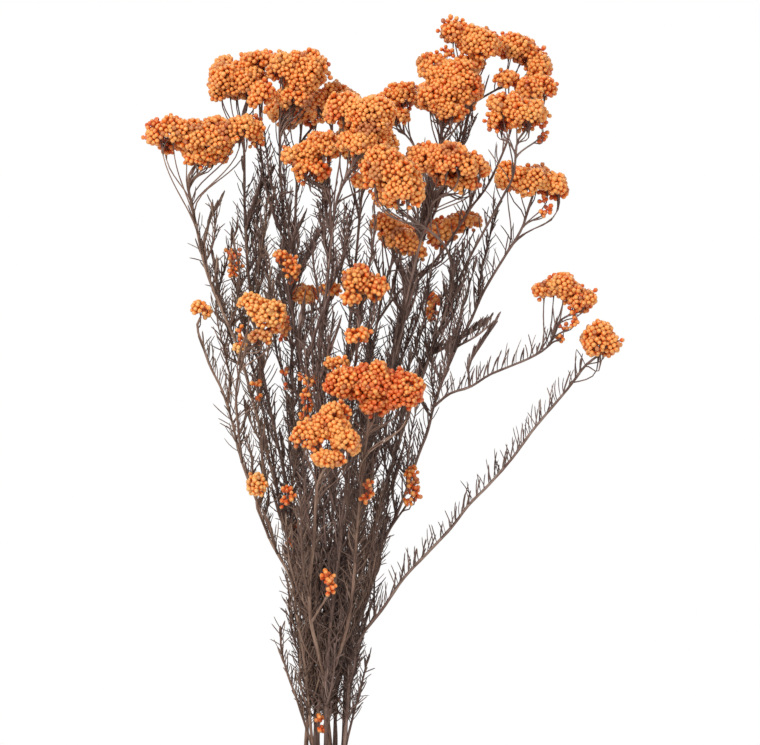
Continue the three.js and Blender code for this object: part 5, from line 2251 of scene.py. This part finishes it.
    def _lay_side_shoots(self, workshop: Workshop, limb: Limb, line: Line) -> None:
        """Lays short leafy shoots that leave the limb at narrow angles, where they have room.

        Args:
            workshop: has the patterns.
            limb: the limb that carries them.
            line: its line.
        """
        start = line.length_at_height(self.lowest_leaf + 6) if limb.is_main else self.shootless_start
        end = line.total - self.shootless_end
        at = start + self.random.uniform(0, self.shoots_apart)
        while at < end:
            root, along = line.at(at), line.direction_at(at)
            aside = unit(np.cross(along, self.random.normal(size=3)))
            inwards = -root[:2] / 100
            aside[:2] += np.clip(inwards, -0.6, 0.6)
            brush = self.random.random() < self.brush_share
            reach = float(self.random.uniform(*(self.brush_length if brush else self.shoot_length)))
            onward = unit(along * 0.95 + aside * self.random.uniform(0.25, 0.5) + (0, 0, 0.22))
            leaving = unit(along * 0.75 + aside * 0.6) * reach * 0.4
            arriving = unit(along * 0.9 + (0, 0, 0.35)) * reach * 0.3
            points = bowed_line(root, leaving, root + onward * reach, arriving)
            clear = self._clear_of_heads(points[4:], self.shoot_clearance).all()
            if clear and not self._hides_head(points[4:]).any() and self._has_room(points[-1]):
                self._lay_shoot(workshop, points, Foliage.BRUSH if brush else Foliage.SHOOT)
            at += self.shoots_apart * self.random.uniform(0.6, 1.5)

    def _lay_shoot(self, workshop: Workshop, points: Array, foliage: Foliage) -> None:
        """Lays a side shoot with its leaves."""
        workshop.lay_rod(self.wood, points, *self.shoot_ends, self.random.uniform(0.25, 0.5), 0.5)
        self._lay_leaves(workshop, Line(points), foliage)

    def _grown_from_limb(self, shoot: Shoot) -> Array:
        """A shoot's points, with its foot where the spray's nearest limb passes a little lower."""
        points = [lifted(point) for point in shoot.line]
        return smooth_line([self._nearest_wood(points[0] - (0, 0, self.shoot_foot_drop)), *points], 4)

    def _nearest_wood(self, aim: Array) -> Array:
        """The point on the spray's limbs that is nearest to another point."""
        spots = np.vstack([line.at(np.arange(5, line.total - 8, 2.0)) for line in self.lines])
        return spots[int(length_of(spots - aim).argmin())]

    def _stalk_to(self, lobe: Lobe) -> Line:
        """A thin stalk from the spray's nearest limb to the underside of a small bud group.

        Args:
            lobe: the bud group's lobe.

        Returns:
            The stalk's line.
        """
        under = lobe.centre - (0, 0, lobe.half[2] * 0.7)
        foot = self._nearest_wood(under - (0, 0, self.stalk_foot_drop))
        reach = float(length_of(under - foot))
        rising = unit(unit(under - foot) + (0, 0, 0.5)) * reach * 0.35
        arriving = unit(under - foot + (0, 0, reach * 0.6)) * reach * 0.3
        return Line(bowed_line(foot, rising, under, arriving))

    @staticmethod
    def _has_room(tip: Array) -> bool:
        """Whether a side shoot's tip stays within the bunch's outline.

        Args:
            tip: the tip.

        Returns:
            True if it does.
        """
        heights, left, right = np.array(ROOM, float).T
        height = tip[2] - VASE_HEIGHT
        return bool(np.interp(height, heights, left) < tip[0] < np.interp(height, heights, right))

    def _clear_of_heads(self, points: Array, share: float) -> Array:
        """Whether each point is outside every lobe of the bunch.

        Args:
            points: the points.
            share: how large the lobes are taken to be.

        Returns:
            True for each point that is outside.
        """
        centres = np.array([lobe.centre for lobe in self.lobes])
        halves = np.array([lobe.half for lobe in self.lobes])
        return (length_of((points[:, None] - centres) / halves) > share).all(1)

    def _hides_head(self, points: Array) -> Array:
        """Whether each point is in front of a head that shows between the stems.

        Args:
            points: the points.

        Returns:
            True for each point that hides a head.
        """
        centres = np.array([lobe.centre for lobe in self.showing])
        halves = np.array([lobe.half for lobe in self.showing])
        apart = points[:, None] - centres
        beside = length_of((apart / halves)[..., [0, 2]])
        return ((beside < self.hiding_reach) & (apart[..., 1] < 0)).any(1)

    def _lay_leaves(self, workshop: Workshop, line: Line, foliage: Foliage, bare: float = 0.0) -> None:
        """Lays needle leaves round a limb or a shoot, each a golden angle on from the one before.

        Args:
            workshop: has the leaf's pattern.
            line: the line of the wood.
            foliage: how the leaves sit on it.
            bare: how much of a limb has no leaves below its head.
        """
        habit, leafy = foliage.value, foliage is not Foliage.LIMB
        start = max(line.length_at_height(self.lowest_leaf), 3.0)
        end = line.total if leafy else line.total - bare
        if end <= start:
            return
        at = np.arange(start, end, habit.step)
        count = len(at)
        at = at + self.random.uniform(-self.leaf_unevenness, self.leaf_unevenness, count) * habit.step
        roots, along = line.at(at), line.direction_at(at)
        turn = np.arange(count) * GOLDEN_ANGLE + self.random.uniform(0, 6.28)
        turn += self.random.normal(0, 0.25, count)
        side = unit(np.cross(along, (1.0, 0.0, 0.0)))
        outward = side * np.cos(turn)[:, None] + np.cross(along, side) * np.sin(turn)[:, None]
        lean = np.sqrt(np.maximum(1 - along[:, 2] ** 2, 0))
        leaning = np.interp(lean, self.leaning_from, (0.0, 1.0))
        upper = unit((0, 0, 1) - along * along[:, 2:])
        beneath = np.minimum((outward * upper).sum(1), 0)
        outward = unit(outward - upper * (2 * beneath * leaning)[:, None])
        followed = np.interp(lean, (0.2, 0.9), (1.0, 0.3))
        aim = along * (self.random.uniform(*habit.steep, count) * followed)[:, None]
        aim += outward * self.random.uniform(*habit.spread, (count, 1))
        aim[:, 2] += 0.1 + 0.35 * leaning
        aim = unit(aim)
        share = at / line.total
        lengths = self.random.uniform(*habit.length, count)
        chance = np.full(count, self.leaf_chance)
        if leafy:
            lengths *= np.interp(share, (0, 0.3, 1), (0.7, 1.0, 0.75))
        else:
            fade = np.clip((line.total - bare - at) / (self.thinning * bare / self.bare_below_head), 0, 1)
            chance *= (self.thinned_share + (1 - self.thinned_share) * fade) * (1 - 0.12 * leaning)
        tips = roots + aim * lengths[:, None]
        kept = (self.random.random(count) < chance) & (roots[:, 2] > self.lowest_leaf)
        kept &= self._clear_of_heads(tips, 1.0) & self._clear_of_heads((roots + tips) / 2, 1.0)
        kept &= ~self._hides_head(tips) | (self.random.random(count) < self.hiding_share)
        if kept.any():
            self._add_leaves(workshop, habit, *(each[kept] for each in (roots, aim, along, outward, lengths)))

    def _add_leaves(self, workshop: Workshop, habit: LeafHabit, roots: Array, aim: Array, along: Array,
                    outward: Array, lengths: Array) -> None:
        """Adds curled copies of the leaf.

        Args:
            workshop: has the leaf's pattern.
            habit: how wide and how curled the leaves are.
            roots: where they start.
            aim: where they point.
            along: the directions of the wood under them.
            outward: the directions away from that wood.
            lengths: how long they are.
        """
        count = len(roots)
        frames = frames_along(aim, outward)
        widths = habit.width * self.random.uniform(0.8, 1.2, count)
        vertices = laid_on(workshop.leaf, roots, frames, np.stack([widths, widths, lengths], 1))
        height = workshop.leaf.vertices[:, 2]
        inwards = unit(along * 0.6 + (0, 0, 0.5)) - outward * 0.75
        curl = inwards * (lengths * self.random.uniform(*habit.curl, count))[:, None]
        vertices += curl[:, None] * (height**2)[None, :, None]
        shift = self.random.uniform(0, 1, (count, 1, 1)) * (0, 0, 90)
        places = workshop.leaf.vertices[None] * (1, 1, 8) + shift
        shares = np.zeros(vertices.shape)
        shares[..., 0] = self.random.normal(*self.leaf_tones, count)[:, None]
        shares[..., 1] = height
        self.leaves.add(workshop.leaf, vertices, places, shares)


@dataclass
class Studio:
    """A plain pale floor, soft light from the upper left and a level camera in front."""

    floor_radius: float = 1.3
    room_light: float = 0.57
    camera_distance: float = 3.2
    camera_across: float = 0.033
    camera_height: float = 0.4365
    shown_width: float = 0.456
    sensor: float = 36.0
    clip_distances: Pair = (0.1, 60.0)
    lit_middle: Triple = (0.02, 0.0, 0.42)

    def build(self) -> None:
        """Builds the floor, the lights and the camera."""
        self._lay_floor()
        self._light()
        self._aim_camera()

    def _lay_floor(self) -> None:
        """A round pale floor, two centimetres thick."""
        start_clean()
        bpy.ops.mesh.primitive_circle_add(vertices=96, radius=self.floor_radius, fill_type="NGON")
        floor = bpy.context.object
        floor.name = floor.data.name = "floor"
        with shaping(floor):
            bpy.ops.mesh.select_all(action="SELECT")
            bpy.ops.mesh.extrude_region_move(TRANSFORM_OT_translate={"value": (0, 0, -0.02)})
        made = Recipe("pale_floor")
        place = made.object_place()
        clouds = made.noise(place, 3.0, 3)
        colour = made.blend(clouds, paint(238, 237, 235), paint(246, 245, 244))
        roughness = made.spread(clouds, (0.3, 0.7), (0.75, 0.9))
        floor.data.materials.append(made.finish(colour, roughness, made.noise(place, 400.0, 2), 0.0001))

    def _light(self) -> None:
        """A white room, a large soft key from the upper left and a weak one from the right."""
        world = bpy.data.worlds.new("white_room")
        bpy.context.scene.world = world
        world.use_nodes = True
        nodes, links = world.node_tree.nodes, world.node_tree.links
        room = nodes["Background"]
        room.inputs["Color"].default_value = (1, 1, 1, 1)
        seen = nodes.new("ShaderNodeLightPath").outputs["Is Camera Ray"]
        strength = nodes.new("ShaderNodeMapRange")
        strength.inputs["To Min"].default_value = self.room_light
        strength.inputs["To Max"].default_value = 1.0
        links.new(seen, strength.inputs["Value"])
        links.new(strength.outputs[0], room.inputs["Strength"])
        self._add_lamp("key", (-1.3, -2.2, 2.1), 0.7, 62.0)
        self._add_lamp("fill", (2.2, -1.6, 1.2), 1.4, 9.0)
        self._add_lamp("rim", (0.6, 2.4, 1.9), 1.2, 20.0)
        bpy.context.scene.view_settings.view_transform = "Standard"

    def _add_lamp(self, name: str, place: Triple, size: float, power: float) -> None:
        """Adds a square lamp that looks at the middle of the bunch.

        Args:
            name: its name.
            place: where it is, in metres.
            size: how wide it is, in metres.
            power: its power in watts.
        """
        data = bpy.data.lights.new(name, "AREA")
        data.shape, data.size, data.energy = "SQUARE", size, power
        lamp = bpy.data.objects.new(name, data)
        bpy.context.collection.objects.link(lamp)
        lamp.location = place
        lamp.rotation_euler = turned_towards(np.array(self.lit_middle) - place)

    def _aim_camera(self) -> None:
        """A level camera that looks along +Y at the photograph's frame."""
        data = bpy.data.cameras.new("camera")
        data.sensor_width = self.sensor
        data.lens = self.sensor * self.camera_distance / self.shown_width
        data.clip_start, data.clip_end = self.clip_distances
        camera = bpy.data.objects.new("camera", data)
        bpy.context.collection.objects.link(camera)
        camera.location = (self.camera_across, -self.camera_distance, self.camera_height)
        camera.rotation_euler = (math.pi / 2, 0, 0)
        bpy.context.scene.camera = camera


def turned_towards(aim: Array) -> Triple:
    """The turn that makes a lamp or camera look in a direction."""
    flat = math.hypot(aim[0], aim[1])
    return (math.pi / 2 + math.atan2(aim[2], flat), 0.0, math.atan2(-aim[0], aim[1]))


def main() -> None:
    """Builds the vase, the sprays and the studio in order, and reports each piece."""
    logging.basicConfig(level=logging.INFO, format="%(name)s: %(message)s")
    vase = StonewareVase()
    vase.dress(vase.build())
    layout = BunchLayout(SPRAYS, SPRIGS)
    lobes = [lobe for head in layout.heads for lobe in head.settled_lobes()]
    lobes += [lobe for spray in SPRAYS for lobe in posies_of(spray.name)]
    showing = [lobe for head in layout.heads if head.name in SHOWING for lobe in head.settled_lobes()]
    workshop, finishes = Workshop(), Finishes()
    for number, spray in enumerate(SPRAYS):
        made = WoodySpray(spray, layout.of_spray(spray.name), lobes, showing, seed=101 + 17 * number)
        made.dress(*made.build(workshop), finishes)
    Studio().build()


if __name__ == "__main__":
    main()
